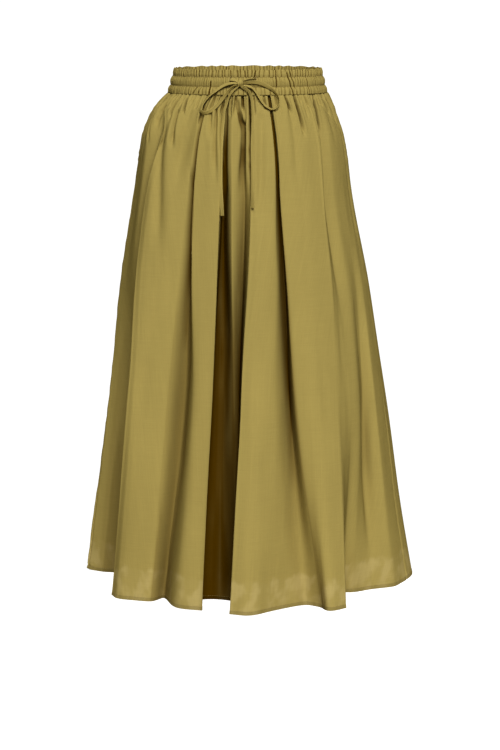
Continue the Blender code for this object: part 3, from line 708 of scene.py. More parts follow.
def cloth_surface():
    """The outer face of the whole cloth with its pleats, creases, seams and hem, and its inner face.

    Returns both grids, the length along each row, the rows' heights and the right side seam's column.
    """
    heights = row_heights(ROW_BANDS)
    grid, reach, place, around = ring_grid(heights)
    seam = int(np.argmin(np.abs(place - (len(FRONT_FOLDS) - 1))))
    left, right, front, back = (size[:, None] for size in half_sizes(heights))
    wide = np.where(grid[..., 0] < 0, left, right)
    deep = np.where(grid[..., 1] < 0, front, back)
    angle = np.arctan2(grid[..., 0] / wide, -grid[..., 1] / deep)
    radius = np.hypot(wide * np.cos(angle), deep * np.sin(angle))
    pleats = list(FRONT_PLEATS)
    for rows in SCATTERED:
        pleats += scattered_pleats(rows)
    rise = -pleat_depths(heights, np.degrees(angle), radius, pleats)
    rise += crease_heights(heights, reach, place)
    rise += wave_heights(heights, reach[-1])
    rise += seam_heights(heights, reach, around, (0, seam))
    rise += hem_heights(heights, reach[-1])
    outer = grid + grid_normals(grid) * rise[..., None]
    level = grid_normals(outer) * (1, 1, 0)
    thick = CLOTH * (1 + fade((HEM_FOLD - heights) / 0.001))
    inner = outer - unit(level) * thick[:, None, None]
    return outer, inner, reach, heights, seam


def ring_frame(along):
    """Level unit tangents along a ring of points, and the normals to them that point out."""
    tangent = unit(along)
    return tangent, np.stack([tangent[:, 1], -tangent[:, 0]], axis=1)


def openness(outer):
    """Share of the directions before the cloth that other folds leave free, for each of its points.

    In the level plane rays leave each point at eleven angles to the broad normal there, each counted by
    its cosine. One that meets the same ring again is blocked. Some rows are worked out, more of them
    near the waist, and the others are read between them.
    """
    # The cloth's colour darkens where this openness is low: painted fold shade.
    top_rows, lower_rows, clear = 20, 24, 0.0008
    count = len(outer)
    lower = np.linspace(top_rows, count - 1, lower_rows).astype(int)
    rows = np.unique(np.concatenate([np.arange(0, top_rows, 2), lower]))
    found = np.zeros((len(rows), outer.shape[1]))
    angles = np.radians(np.arange(-75, 76, 15))
    for k, row in enumerate(rows):
        ring = outer[row, :, :2]
        edge = np.roll(ring, -1, axis=0) - ring
        _, close_normal = ring_frame(edge + np.roll(edge, 1, axis=0))
        start = ring + close_normal * clear
        tangent, normal = ring_frame(
            sum(np.roll(ring, -far, axis=0) - np.roll(ring, far, axis=0) for far in (4, 8, 12)))
        apart = ring[None] - start[:, None]
        past = apart[..., 0] * edge[None, :, 1] - apart[..., 1] * edge[None, :, 0]
        for angle in angles:
            ray = normal * np.cos(angle) + tangent * np.sin(angle)
            turn = ray[:, None, 0] * edge[None, :, 1] - ray[:, None, 1] * edge[None, :, 0]
            turn = np.where(np.abs(turn) < 1e-12, 1e-12, turn)
            along = past / turn
            share = (apart[..., 0] * ray[:, None, 1] - apart[..., 1] * ray[:, None, 0]) / turn
            free = ~((along > 0) & (share >= 0) & (share < 1)).any(axis=1)
            found[k] += free * np.cos(angle) / np.cos(angles).sum()
    found = sum(np.roll(found, shift, axis=1) for shift in (-1, 0, 1)) / 3
    below = np.clip(np.searchsorted(rows, np.arange(count), side="right") - 1, 0, len(rows) - 2)
    share = ((np.arange(count) - rows[below]) / (rows[below + 1] - rows[below]))[:, None]
    return found[below] * (1 - share) + found[below + 1] * share


def add_object(name, mesh, materials):
    """Link a mesh into the scene as an object with its materials."""
    thing = bpy.data.objects.new(name, mesh)
    bpy.context.scene.collection.objects.link(thing)
    for material in materials:
        mesh.materials.append(material)
    return thing


def claim(piece, slot, *nodes):
    """Let a piece ride on the only body and stand for the frame's nodes. The slot is not used."""
    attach(piece, "root")
    if nodes:
        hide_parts(*nodes)


def put_mesh(name, points, faces, uvs, materials, sharp=None):
    """An object with a smooth mesh of quads from arrays, its UV map, and its materials.

    sharp says of each vertex whether it is on a rim: an edge between two such vertices is sharp.
    """
    mesh = bpy.data.meshes.new(name)
    mesh.vertices.add(len(points))
    mesh.vertices.foreach_set("co", np.asarray(points, np.float32).ravel())
    mesh.loops.add(faces.size)
    mesh.loops.foreach_set("vertex_index", faces.ravel().astype(np.int32))
    mesh.polygons.add(len(faces))
    mesh.polygons.foreach_set("loop_start", (np.arange(len(faces)) * faces.shape[1]).astype(np.int32))
    mesh.polygons.foreach_set("use_smooth", np.ones(len(faces), bool))
    if uvs is not None:
        layer = mesh.uv_layers.new(name="cloth")
        layer.data.foreach_set("uv", uvs.astype(np.float32).ravel())
    mesh.update(calc_edges=True)
    mesh.validate()
    if sharp is not None:
        ends = np.empty(len(mesh.edges) * 2, np.int32)
        mesh.edges.foreach_get("vertices", ends)
        rims = sharp[ends.reshape(-1, 2)]
        attribute = mesh.attributes.new("sharp_edge", "BOOLEAN", "EDGE")
        attribute.data.foreach_set("value", (rims[:, 0] > 0) & (rims[:, 0] == rims[:, 1]))
    return add_object(name, mesh, materials)


def store(thing, name, values):
    """Keep a number for each vertex of a mesh under a name."""
    attribute = thing.data.attributes.new(name, "FLOAT", "POINT")
    attribute.data.foreach_set("value", values.ravel().astype(np.float32))


def grid_faces(rows, columns, wrap_rows=False, wrap_columns=False):
    """Quads of a grid of points, as an array of four corners each, row by row."""
    r = np.arange(rows if wrap_rows else rows - 1)[:, None]
    c = np.arange(columns if wrap_columns else columns - 1)[None, :]
    here, there = r * columns, (r + 1) % rows * columns
    beside = (c + 1) % columns
    corners = (here + c, there + c, there + beside, here + beside)
    return np.stack([np.broadcast_to(k, (len(r), c.shape[1])) for k in corners], axis=2).reshape(-1, 4)


def wall_mesh(name, outer, inner, across, free, materials):
    """Two grids closed into one thin wall, as a tube round its rows with its two ends filled.

    The rows of points go down the outer face and up the inner one, so the hem and the top edge close
    by themselves, and a strip of faces closes each side edge. UVs are lengths across and down.
    """
    rows, columns = outer.shape[:2]
    points = np.vstack([outer, inner[::-1]])
    faces = grid_faces(2 * rows, columns, wrap_rows=True)
    k = np.arange(rows - 1)
    front, back = k * columns, (2 * rows - 1 - k) * columns
    left = np.stack([front, back, back - columns, front + columns], axis=1)
    right = left[:, ::-1] + columns - 1
    faces = np.vstack([faces, left, right])
    down = reach_down(outer)
    u = np.vstack([across, across[::-1]]).ravel()
    v = -np.repeat(np.concatenate([down, down[::-1]]), columns)
    uvs = np.stack([u, v], axis=1)[faces]
    edge = np.zeros((2 * rows, columns), np.int8)
    edge[0] = edge[rows - 1] = edge[:rows, 0] = edge[:rows, -1] = 1
    edge[rows] = edge[-1] = edge[rows:, 0] = edge[rows:, -1] = 2
    thing = put_mesh(name, points.reshape(-1, 3), faces, uvs, materials, edge.ravel())
    # Openness, from which the panels' material paints shade into the folds.
    store(thing, "openness", np.vstack([free, free[::-1]]))
    return thing


def open_seam(grid):
    """Draw the first and last column of a panel in by half the seam gap."""
    cut = grid.copy()
    for edge, beside in ((0, 1), (-1, -2)):
        cut[:, edge] += unit(grid[:, beside] - grid[:, edge]) * SEAM_GAP / 2
    return cut


def ridges(seed, count, bearing, sway):
    """Uneven rounded ridges round the band: the root of a half sine between jittered valleys."""
    rng = np.random.default_rng(seed)
    valleys = np.cumsum(rng.uniform(0.45, 1.0, count) ** 1.3)
    valleys = np.concatenate([[0], valleys]) * 360 / valleys[-1]
    place = np.interp((bearing + sway) % 360, valleys, np.arange(count + 1))
    size = rng.uniform(0.35, 1.0, count)[np.minimum(place.astype(int), count - 1)]
    return size * np.abs(np.sin(np.pi * place)) ** 0.75


def band_profile(height):
    """The waistband's profile read at heights: how far out it stands, in metres, and its share of width."""
    heights, outs, widths = zip(*BAND_PROFILE[::-1])
    return smooth_values(heights, outs, height) * MM, smooth_values(heights, widths, height)


def band_out(bearing, height):
    """How far the waistband's outer face stands out of its oval, in metres.

    It is the profile of three puffs, plus coarse and fine ridges of gathers that fade at each stitch
    row, less the pinches that run through it.
    """
    at_stitches = 0.30                  # strength of the ridges beside a stitch row
    mean_ridge, fine_share = 0.35, 0.28
    out, _ = band_profile(height)
    for seed, zone in enumerate(SHIRRING.values()):
        t = (zone.top - height) / (zone.top - zone.bottom)
        rise = 1.0 if zone.open_top else np.sin(np.pi * np.clip(t, 0, 0.5))
        fall = 1.0 if zone.open_bottom else np.sin(np.pi * np.clip(1 - t, 0, 0.5))
        strength = np.where(
            (t >= 0) & (t <= 1), at_stitches + (1 - at_stitches) * rise * fall, 0.0)
        sway = 0.5 * np.sin(np.radians(bearing) * 9 + seed) * (t - 0.5)
        coarse = ridges(seed, zone.count, bearing, sway)
        fine = ridges(seed + 40, zone.count * 2, bearing, -sway)
        ridged = coarse - mean_ridge + fine_share * (fine - mean_ridge)
        out = out + zone.height_mm * MM * strength * ridged
    for pinch in PINCHES:
        t, below = trough(pinch, bearing, height, (WAIST_HALF_WIDTH + WAIST_HALF_DEPTH) / 2)
        out = out - below * fade((t + 0.15) / 0.15) * fade((1.15 - t) / 0.3)
    return out


def band_point(bearing, height, out):
    """A point of the waistband."""
    oval = (WAIST_HALF_WIDTH, WAIST_HALF_WIDTH, WAIST_HALF_DEPTH, WAIST_HALF_DEPTH)
    flat = outline_point(bearing, out, oval)
    flat[..., 0] *= band_profile(height)[1]
    return np.concatenate([flat, np.broadcast_to(height, flat.shape[:-1])[..., None]], axis=-1)


def band_openness(grid):
    """How open the waistband is at each point: 1 on a ridge, and less in a valley or a groove.

    It is the height of the surface less its mean over the points beside, above and below it. The
    band's material darkens its valleys and grooves by it: painted shade.
    """
    beside, above, darkening = 7, 4, 0.0013
    upright_share, level, darkest = 0.25, 0.84, 0.15
    reach = np.linalg.norm(grid[..., :2] * (WAIST_HALF_DEPTH / WAIST_HALF_WIDTH, 1.0), axis=2)
    around = sum(np.roll(reach, k, axis=1) for k in range(-beside, beside + 1)) / (2 * beside + 1)
    padded = np.pad(reach, ((above, above), (0, 0)), mode="edge")
    upright = sum(padded[k:k + len(reach)] for k in range(2 * above + 1)) / (2 * above + 1)
    rise = (reach - around) + upright_share * (reach - upright)
    return np.clip(level + rise / darkening, darkest, 1.0)


def band_grid():
    """Closed sections of the waistband, up the outer face, over the frilled edge and down the inner.

    The rows of the grid are rings. The frilled edge rises and falls in a sine whose phase sways. The
    inner face follows the outer one faintly, and ends in a lip that meets the gathered cloth.
    """
    bearing = np.arange(BAND_COLUMNS) * 360 / BAND_COLUMNS
    b, z = np.meshgrid(bearing, row_heights(BAND_ROW_BANDS))
    outer_out = band_out(b, z)
    wave_height, waves, sways = 0.0007, 31, 7
    turn = np.radians(bearing)
    wavy = wave_height * np.sin(turn * waves + 2 * np.sin(turn * sways))
    outer = band_point(b, z, outer_out)
    outer[..., 2] += fade((z - 0.010) / 0.010) * wavy
    top = band_point(b[:1], np.full_like(b[:1], WAIST_TOP + 0.0006), outer_out[-1:] - 0.0009)
    top[..., 2] += wavy
    b, z = np.meshgrid(bearing, BAND_INNER_ROWS)
    wall = BAND_WALL_MM + (BAND_TOP_WALL_MM - BAND_WALL_MM) * fade((z - 0.008) / 0.010)
    wall += SEAM_LIP_MM * fade((-0.0160 - z) / 0.003)
    gathered = 0.0005 * (ridges(90, 150, b, 0) - 0.5)
    inner = band_point(b, z, band_out(b, z) * 0.4 + gathered - wall * MM + 0.0004)
    inner[0, :, 2] += wavy
    return np.vstack([outer, top, inner])


def running_mean(values, reach):
    """Each value's mean with as many neighbours to both sides, the ends carried on level."""
    return np.convolve(np.pad(values, reach, mode="edge"), np.ones(2 * reach + 1) / (2 * reach + 1), "valid")


def tie_frame(route, tie):
    """The middle, the width and the direction across of a flat tie at even steps along its route.

    Across is the tangent crossed with the front, turned about the tangent. A turned tie is moved
    forward by the depth that its width then has, so it stays clear of what lies behind.
    """
    middle = evenly(open_path(route, 24), TIE_STEP)
    along = unit(np.gradient(middle, axis=0))
    share = np.linspace(0, 1, len(middle))
    turn, width = (
        running_mean(np.interp(share, np.linspace(0, 1, len(values)), np.multiply(values, scale)), 6)
        for values, scale in ((tie.turns, np.radians(1)), (tie.widths_mm, MM)))
    forward = np.array([0.0, -1.0, 0.0])
    face = unit(forward - along * (along @ forward)[:, None])
    across = np.cross(along, face)
    turned_face = face * np.cos(turn)[:, None] + across * np.sin(turn)[:, None]
    turned_across = np.cross(along, turned_face)
    lift = running_mean(np.maximum(width / 2 * np.abs(np.sin(turn)) - 0.0012, 0.0), 4)
    return middle + forward * lift[:, None], turned_across, turned_face, width


def tie_mesh(name, route, tie, material):
    """A flat tie: a flattened tube of cloth with rounded edges, faintly creased, carried along its route.

    Its section is a superellipse, thinner towards the middle, and its two cut ends are filled.
    """
    middle, across, face, width = tie_frame(route, tie)
    sides, girth = 20, 0.016
    thinning, crumpling, cupping = 0.30, 0.10, 0.10
    phi = np.arange(sides) * 2 * np.pi / sides
    x = np.sign(np.cos(phi)) * np.abs(np.cos(phi)) ** 0.7
    y = np.sign(np.sin(phi)) * np.abs(np.sin(phi)) ** 0.8
    y = y * (1 - thinning * bell(x, 0, 0.45))
    length = reach_down(middle)
    s = length[:, None]
    crumple = 1 + crumpling * np.sin(s * 900 + 3 * np.sin(s * 170)) * np.sin(2 * phi)
    cup = cupping * np.sin(s * 60 + len(name)) * (x * x)
    half = width[:, None] / 2
    ring = (middle[:, None] + across[:, None] * (x * half)[..., None]
            + face[:, None] * (TIE_THICKNESS / 2 * y * crumple + cup * half)[..., None])
    ends = [ring[k] * 0.15 + middle[k] * 0.85 for k in (0, -1)]
    ring = np.concatenate([ends[:1], ring, ends[1:]])
    rows = len(ring)
    points = np.vstack([ring.reshape(-1, 3), middle[:1], middle[-1:]])
    k = np.arange(sides)
    beside = (k + 1) % sides
    first, last = rows * sides, rows * sides + 1
    low = (rows - 1) * sides
    fans = np.vstack([np.stack([np.full(sides, first), k, beside], axis=1),
                      np.stack([np.full(sides, last), low + beside, low + k], axis=1)])
    mesh = bpy.data.meshes.new(name)
    mesh.from_pydata(points, [], grid_faces(rows, sides, wrap_columns=True).tolist() + fans.tolist())
    mesh.shade_smooth()
    v = np.concatenate([[0], length, [length[-1]]])
    u = phi / (2 * np.pi) * girth
    plane = np.stack(np.broadcast_arrays(u, v[:, None]), axis=2).reshape(-1, 2)
    plane = np.vstack([plane, [[girth / 2, 0.0], [girth / 2, length[-1]]]])
    corner = np.empty(len(mesh.loops), np.int32)
    mesh.loops.foreach_get("vertex_index", corner)
    mesh.uv_layers.new(name="cloth").data.foreach_set("uv", plane[corner].astype(np.float32).ravel())
    mesh.update()
    thing = add_object(name, mesh, [material])
    outward(thing)
    return thing, middle


def outward(thing, merge=False):
    """Turn the faces of a closed mesh to point out, after its doubled points are merged if asked."""
    work = bmesh.new()
    work.from_mesh(thing.data)
    if merge:
        bmesh.ops.remove_doubles(work, verts=work.verts, dist=1e-6)
    bmesh.ops.recalc_face_normals(work, faces=work.faces)
    work.to_mesh(thing.data)
    work.free()


def knot_mesh(name, material):
    """The knot: a rounded block wrapped by the tie, with its pleats running round it.

    Across it goes v from -1 to 1, and round it the angle a. The radius is (1 - |v|^2.6)^(1/2.4), with
    ripples across v that drift with a.
    """
    rows, sides = 40, 56
    v = np.sin(np.linspace(-np.pi / 2, np.pi / 2, rows))[:, None]
    a = (np.arange(sides) * 2 * np.pi / sides)[None, :]
    coarse, fine, squareness = 0.085, 0.04, 0.06
    radius = np.clip(1 - np.abs(v) ** 2.6, 0, 1) ** (1 / 2.4)
    pleats = 1 + coarse * np.cos(9.0 * v + 1.1 * np.sin(a) + 0.4) + fine * np.cos(17 * v - 2 * np.cos(a))
    square = 1 + squareness * np.cos(4 * a)
    hx, hy, hz = KNOT_HALF_SIZES
    reach = radius * pleats * square
    x = np.broadcast_to(v * hx, reach.shape)
    y = -np.cos(a) * hy * reach
    z = np.sin(a) * hz * reach + 0.12 * hz * np.sin(2.2 * v + 0.5)
    points = np.stack([x, y, z], axis=2) + np.array(KNOT_CENTRE)
    faces = grid_faces(rows, sides, wrap_columns=True)
    uvs = np.stack(np.broadcast_arrays(v * 0.004, a * 0.004), axis=2).reshape(-1, 2)[faces]
    thing = put_mesh(name, points.reshape(-1, 3), faces, uvs, [material])
    outward(thing, merge=True)
    return thing


def stitch_mesh(name, path, normals, material):
    """A row of stitches along a path on cloth: each a short arched capsule of thread.

    Along a stitch goes t from -1 to 1. Its middle rises by the root of 1 - t^2, and it thins out
    towards both ends.
    """
    reach = reach_down(path)
    pitch = STITCH + STITCH_GAP
    count = max(2, int(reach[-1] / pitch))
    centre = (np.arange(count) + 0.5) * reach[-1] / count

    def read(values, at):
        return np.column_stack([np.interp(at, reach, values[:, k]) for k in range(3)])

    along = unit(read(path, centre + pitch / 3) - read(path, centre - pitch / 3))
    up = read(normals, centre)
    up = unit(up - along * (along * up).sum(axis=1)[:, None])
    side = np.cross(along, up)
    middle = read(path, centre)
    t = np.array([-1.0, -0.7, 0.0, 0.7, 1.0])
    sides = 6
    phi = np.arange(sides) * 2 * np.pi / sides
    arch = THREAD * (1.6 * np.sqrt(1 - t * t) - 0.6)
    thin = THREAD * np.array([0.35, 0.9, 1.0, 0.9, 0.35])[:, None]
    local = np.stack(np.broadcast_arrays(
        (t * STITCH / 2)[:, None], thin * np.cos(phi), arch[:, None] + thin * np.sin(phi)), axis=2)
    points = middle[:, None] + np.einsum("pk,skc->spc", local.reshape(-1, 3),
                                         np.stack([along, side, up], axis=1))
    per = len(t) * sides
    starts = (np.arange(count) * per)[:, None, None]
    quads = (grid_faces(len(t), sides, wrap_columns=True) + starts).reshape(-1, 4)
    caps = (np.array([range(sides - 1, -1, -1), range(per - sides, per)]) + starts).reshape(-1, sides)
    mesh = bpy.data.meshes.new(name)
    mesh.from_pydata(points.reshape(-1, 3), [], quads.tolist() + caps.tolist())
    mesh.shade_smooth()
    thing = add_object(name, mesh, [material])
    outward(thing)
    return thing


def buttonhole_mesh(name, bearing, height, thread, dark):
    """A worked buttonhole on the casing: an oblong ring of ribbed satin stitch round a slit of painted
    shade.

    The stitching is a ring tube whose radius ripples as a sine of the length round it.
    """
    tall, wide, tube = 0.0048, 0.0011, 0.00055
    around, sides, ribs = 160, 8, 40
    rib_height, proud, slit_proud = 0.18, 0.0008, 0.0007
    a = (np.arange(around) * 2 * np.pi / around)[:, None]
    line_x = wide * np.cos(a)
    line_z = wide * np.sin(a) + np.sign(np.sin(a)) * (tall - wide) * np.abs(np.sin(a)) ** 0.25
    phi = np.arange(sides) * 2 * np.pi / sides
    r = tube * (1 + rib_height * np.sin(a * ribs))
    x = line_x + r * np.cos(phi) * np.cos(a)
    z = line_z + r * np.cos(phi) * np.sin(a)
    y = r * np.sin(phi) * 0.7
    degrees = bearing + np.degrees(x / WAIST_HALF_WIDTH)
    base = band_out(np.full(1, bearing), np.full(1, height))[0]
    points = band_point(degrees, height + z, base + proud + y)
    faces = grid_faces(around, sides, wrap_rows=True, wrap_columns=True)
    ring = put_mesh(name, points.reshape(-1, 3), faces, None, [thread])
    outward(ring)
    # The slit is a sheet of painted shade, domed a little in front of the band.
    share = np.linspace(0, 1, 6)[:, None]
    slit_x, slit_z = line_x.T * share, line_z.T * share
    dome = np.broadcast_to(slit_proud + 0.0001 * (1 - share ** 2), slit_x.shape)
    slit = band_point(bearing + np.degrees(slit_x / WAIST_HALF_WIDTH), height + slit_z, base + dome)
    faces = grid_faces(len(share), around, wrap_columns=True)[:, ::-1]
    patch = put_mesh(name + "_slit", slit.reshape(-1, 3), faces, None, [dark])
    return ring, patch


class Value:
    """A number that a shader works out. Python's operators on it add Math nodes."""

    def __init__(self, shader, socket):
        self.shader = shader
        self.socket = socket

    def math(self, operation, *others):
        node = self.shader.node("ShaderNodeMath", {"operation": operation}, (self, *others))
        return Value(self.shader, node.outputs[0])

    def __add__(self, other):
        return self.math("ADD", other)

    def __sub__(self, other):
        return self.math("SUBTRACT", other)

    def __mul__(self, other):
        return self.math("MULTIPLY", other)

    def __rsub__(self, other):
        node = self.shader.node("ShaderNodeMath", {"operation": "SUBTRACT"}, (other, self))
        return Value(self.shader, node.outputs[0])

    __radd__ = __add__
    __rmul__ = __mul__

    def sine(self):
        return self.math("SINE")

    def step(self, start, end):
        """0 at start, 1 at end and smooth between."""
        node = self.shader.node(
            "ShaderNodeMapRange", {"interpolation_type": "SMOOTHSTEP", "clamp": True},
            (self, start, end, 0.0, 1.0))
        return Value(self.shader, node.outputs[0])


class Shader:
    """A material's node tree, with one method that adds any node."""

    def __init__(self, name, **settings):
        self.material = bpy.data.materials.new(name)
        self.material.use_nodes = True
        self.tree = self.material.node_tree
        self.surface = self.tree.nodes["Principled BSDF"]
        for socket, value in settings.items():
            self.surface.inputs[socket.replace("_", " ")].default_value = value

    def node(self, kind, settings=(), values=()):
        """Add a node: its settings first, then its sockets' values or links, by order or by name."""
        node = self.tree.nodes.new(kind)
        for key, value in dict(settings).items():
            setattr(node, key, value)
        pairs = values.items() if isinstance(values, dict) else enumerate(values)
        for key, value in pairs:
            self.join(value, node.inputs[key])
        return node

    def join(self, value, socket):
        if isinstance(value, Value):
            self.tree.links.new(value.socket, socket)
        elif value is not None:
            socket.default_value = value

    def set(self, name, value):
        self.join(value, self.surface.inputs[name])

    def place(self, uv=None):
        """Object coordinates in metres, or those of a UV map, as three values."""
        if uv:
            source = self.node("ShaderNodeUVMap", {"uv_map": uv}).outputs[0]
        else:
            source = self.node("ShaderNodeTexCoord").outputs["Object"]
        split = self.node("ShaderNodeSeparateXYZ", (), (Value(self, source),))
        return [Value(self, out) for out in split.outputs]

    def noise(self, x, y, z, detail=2.0, rough=0.5):
        """Noise about 0.5 at a place whose unit is the size of its spots."""
        where = self.node("ShaderNodeCombineXYZ", (), (x, y, z))
        node = self.node("ShaderNodeTexNoise", {"noise_dimensions": "3D"},
                         {"Vector": Value(self, where.outputs[0]), "Scale": 1.0, "Detail": detail,
                          "Roughness": rough})
        return Value(self, node.outputs[0])

    def attribute(self, name):
        """A number stored on the mesh."""
        node = self.node("ShaderNodeAttribute", {"attribute_name": name})
        return Value(self, node.outputs["Fac"])

    def mix(self, share, first, second):
        """A colour between two, at a share from 0 to 1."""
        node = self.node("ShaderNodeMix", {"data_type": "RGBA", "clamp_factor": True})
        self.join(share, node.inputs[0])
        for socket, colour in ((node.inputs[6], first), (node.inputs[7], second)):
            if isinstance(colour, tuple):
                socket.default_value = (*colour, 1.0)
            else:
                self.join(colour, socket)
        return Value(self, node.outputs[2])

    def tint(self, colour, strength):
        """A colour made darker or lighter by a strength about 1."""
        node = self.node("ShaderNodeVectorMath", {"operation": "SCALE"})
        self.join(colour, node.inputs[0])
        self.join(strength, node.inputs["Scale"])
        return Value(self, node.outputs[0])

    def bump(self, height, distance, strength=1.0):
        node = self.node("ShaderNodeBump", (), {"Strength": strength, "Distance": distance,
                                                 "Height": height})
        self.set("Normal", Value(self, node.outputs[0]))


def cloth_material(name, settings, lightness=1.0, panel=False, folded=False):
    """Matte cotton poplin: plain weave, slubs along both threads and faint mottling.

    The weave's height is the product of two sines, one for each thread. Slubs are noise drawn out
    along a thread. A panel is lighter in patches below an uneven line near the hem, painted light that
    shines through its single layer, and its turned hem is darker, painted shade where less light comes
    through the doubled cloth. A panel's and a folded cloth's colour darkens towards the painted fold
    shade where its mesh's openness is low.
    """
    shader = Shader(name, Specular_IOR_Level=0.0)
    u, v, _ = shader.place("cloth")
    x, y, z = shader.place()
    turn = np.pi / (settings.weave_mm * MM)
    weave = (u * turn).sine() * (v * turn).sine()
    along, between = 45.0, 1900.0       # slubs to the metre, along a thread and from thread to thread
    weft = shader.noise(u * along, v * between, 0.0, 1.0)
    warp = shader.noise(u * between, v * along, 7.0, 1.0)
    slub = weft * 0.6 + warp * 0.4
    mottle = shader.noise(x * 14.0, y * 14.0, z * 7.0, 3.0)
    streak = shader.noise(u * 480.0, v * 9.0, 3.0, 2.0)
    thick = shader.noise(u * 11.0, v * 420.0, 5.0, 2.0)
    tone = (slub - 0.5) * 0.22 + (mottle - 0.5) * 0.14 + weave * 0.02 + lightness
    tone = tone + (streak - 0.5) * 0.13 + (thick - 0.5) * 0.09
    colour = tuple(settings.colour)
    if panel:
        # Painted light: lighter patches below an uneven line near the hem, for light shining through the
        # cloth.
        edge = shader.noise(u * 26.0, 0.0, 2.0, 3.0, 0.6) * 0.055 - 0.0275
        patch = shader.noise(u * 34.0, v * 22.0, 4.0, 2.0).step(0.42, 0.62)
        part = (z + edge).step(settings.painted_sheer_top, settings.painted_sheer_top - 0.009)
        colour = shader.mix(part * (patch * 0.80 + 0.14), colour, tuple(settings.painted_sheer_light))
        # Painted shade: the turned hem is darker, where less light comes through the doubled cloth.
        tone = tone - z.step(HEM_FOLD + 0.0004, HEM_FOLD - 0.0004) * 0.24
    # Painted shade: the colour darkens towards the painted fold shade where the mesh's openness is low.
    if panel or folded:
        limits = (settings.fold_closed, settings.fold_open) if panel else (0.0, 1.0)
        free = shader.attribute("openness").step(*limits)
        colour = shader.mix(free, tuple(settings.painted_fold_shade), colour)
    shader.set("Base Color", shader.tint(colour, tone))
    shader.set("Roughness", (mottle - 0.5) * 0.12 + 0.86)
    shader.bump(weave * 0.5 + slub * 1.6, settings.weave_bump, 0.55)
    return shader.material


def thread_material(name, colour):
    """Spun sewing thread, with a fine ply across it."""
    shader = Shader(name, Roughness=0.6, Sheen_Weight=0.1)
    x, y, z = shader.place()
    ply = ((x + y + z) * 9000.0).sine()
    fleck = shader.noise(x * 900.0, y * 900.0, z * 900.0, 1.0)
    shader.set("Base Color", shader.tint(tuple(colour), (fleck - 0.5) * 0.3 + ply * 0.06 + 1.0))
    shader.bump(ply, 0.00005, 0.4)
    return shader.material


def dark_material(name):
    """Painted shade: a dark sheet in a buttonhole slit, for the shaded inside of the casing."""
    shader = Shader(name, Roughness=0.95)
    x, y, z = shader.place()
    fleck = shader.noise(x * 800.0, y * 800.0, z * 800.0, 1.0)
    shader.set("Base Color", shader.tint((0.030, 0.019, 0.004), fleck + 0.5))
    return shader.material


def floor_material(tone, glow):
    """A pale matte floor that glows, so that it stays as pale as its surroundings."""
    shader = Shader("pale_floor", Roughness=0.9)
    x, y, _ = shader.place()
    cloud = shader.noise(x * 0.8, y * 0.8, 0.0, 2.0)
    shader.set("Base Color", shader.tint((tone, tone, tone), (cloud - 0.5) * 0.01 + 1.0))
    shader.surface.inputs["Emission Color"].default_value = WHITE
    shader.surface.inputs["Emission Strength"].default_value = glow
    dim = shader.node("ShaderNodeBsdfDiffuse", (), {"Color": (tone, tone * 0.85, tone * 0.45, 1.0)})
    seen = shader.node("ShaderNodeLightPath").outputs["Is Camera Ray"]
    choose = shader.node("ShaderNodeMixShader")
    for source, socket in zip((seen, dim.outputs[0], shader.surface.outputs[0]), choose.inputs):
        shader.tree.links.new(source, socket)
    shader.tree.links.new(choose.outputs[0], shader.tree.nodes["Material Output"].inputs["Surface"])
    return shader.material


class SKIRT_OT_stage(bpy.types.Operator):
    """Make the camera, the lights, the pale surroundings and the floor"""
    bl_idname = "skirt.stage"
    bl_label = "Stage"

    def execute(self, context):
        stage = context.scene.skirt_stage
        camera = bpy.data.objects.new("camera", bpy.data.cameras.new("camera"))
        camera.data.lens = CAMERA_LENS_MM
        camera.data.sensor_width = CAMERA_SENSOR_MM
        camera.data.clip_end = 100.0
        camera.location = CAMERA_PLACE
        camera.rotation_euler = (np.radians(90 - CAMERA_TILT), 0.0, 0.0)
        context.scene.collection.objects.link(camera)
        context.scene.camera = camera
        for row in LAMPS:
            lamp = bpy.data.objects.new(row.name, bpy.data.lights.new(row.name, "SUN"))
            lamp.data.energy = row.strength * stage.light
            lamp.data.angle = np.radians(row.spread)
            lamp.data.color = LAMP_COLOUR
            turn, height = np.radians(row.bearing), np.radians(row.height)
            towards = Vector((-np.sin(turn) * np.cos(height), np.cos(turn) * np.cos(height),
                              -np.sin(height)))
            lamp.rotation_euler = towards.to_track_quat("-Z", "Y").to_euler()
            context.scene.collection.objects.link(lamp)
        world = bpy.data.worlds.new("pale_surroundings")
        world.use_nodes = True
        tree = world.node_tree
        seen = tree.nodes["Background"]
        seen.inputs["Color"].default_value = WHITE
        lights = tree.nodes.new("ShaderNodeBackground")
        lights.inputs["Color"].default_value = FILL_COLOUR
        lights.inputs["Strength"].default_value = stage.fill_strength
        choose = tree.nodes.new("ShaderNodeMixShader")
        path = tree.nodes.new("ShaderNodeLightPath")
        tree.links.new(path.outputs["Is Camera Ray"], choose.inputs[0])
        tree.links.new(lights.outputs[0], choose.inputs[1])
        tree.links.new(seen.outputs[0], choose.inputs[2])
        tree.links.new(choose.outputs[0], tree.nodes["World Output"].inputs["Surface"])
        context.scene.world = world
        context.scene.view_settings.view_transform = "Standard"
        context.scene.view_settings.gamma = stage.contrast_gamma
        context.scene.view_settings.exposure = stage.exposure
        turn = np.arange(FLOOR_SIDES) * 2 * np.pi / FLOOR_SIDES
        rim = np.column_stack([np.cos(turn), np.sin(turn)]) * FLOOR_RADIUS
        points = np.column_stack([rim, np.full(FLOOR_SIDES, FLOOR_HEIGHT)])
        floor = put_mesh("floor", points, np.arange(FLOOR_SIDES)[None, :], None,
                         [floor_material(stage.floor_tone, stage.floor_glow)])
        return {"FINISHED"}


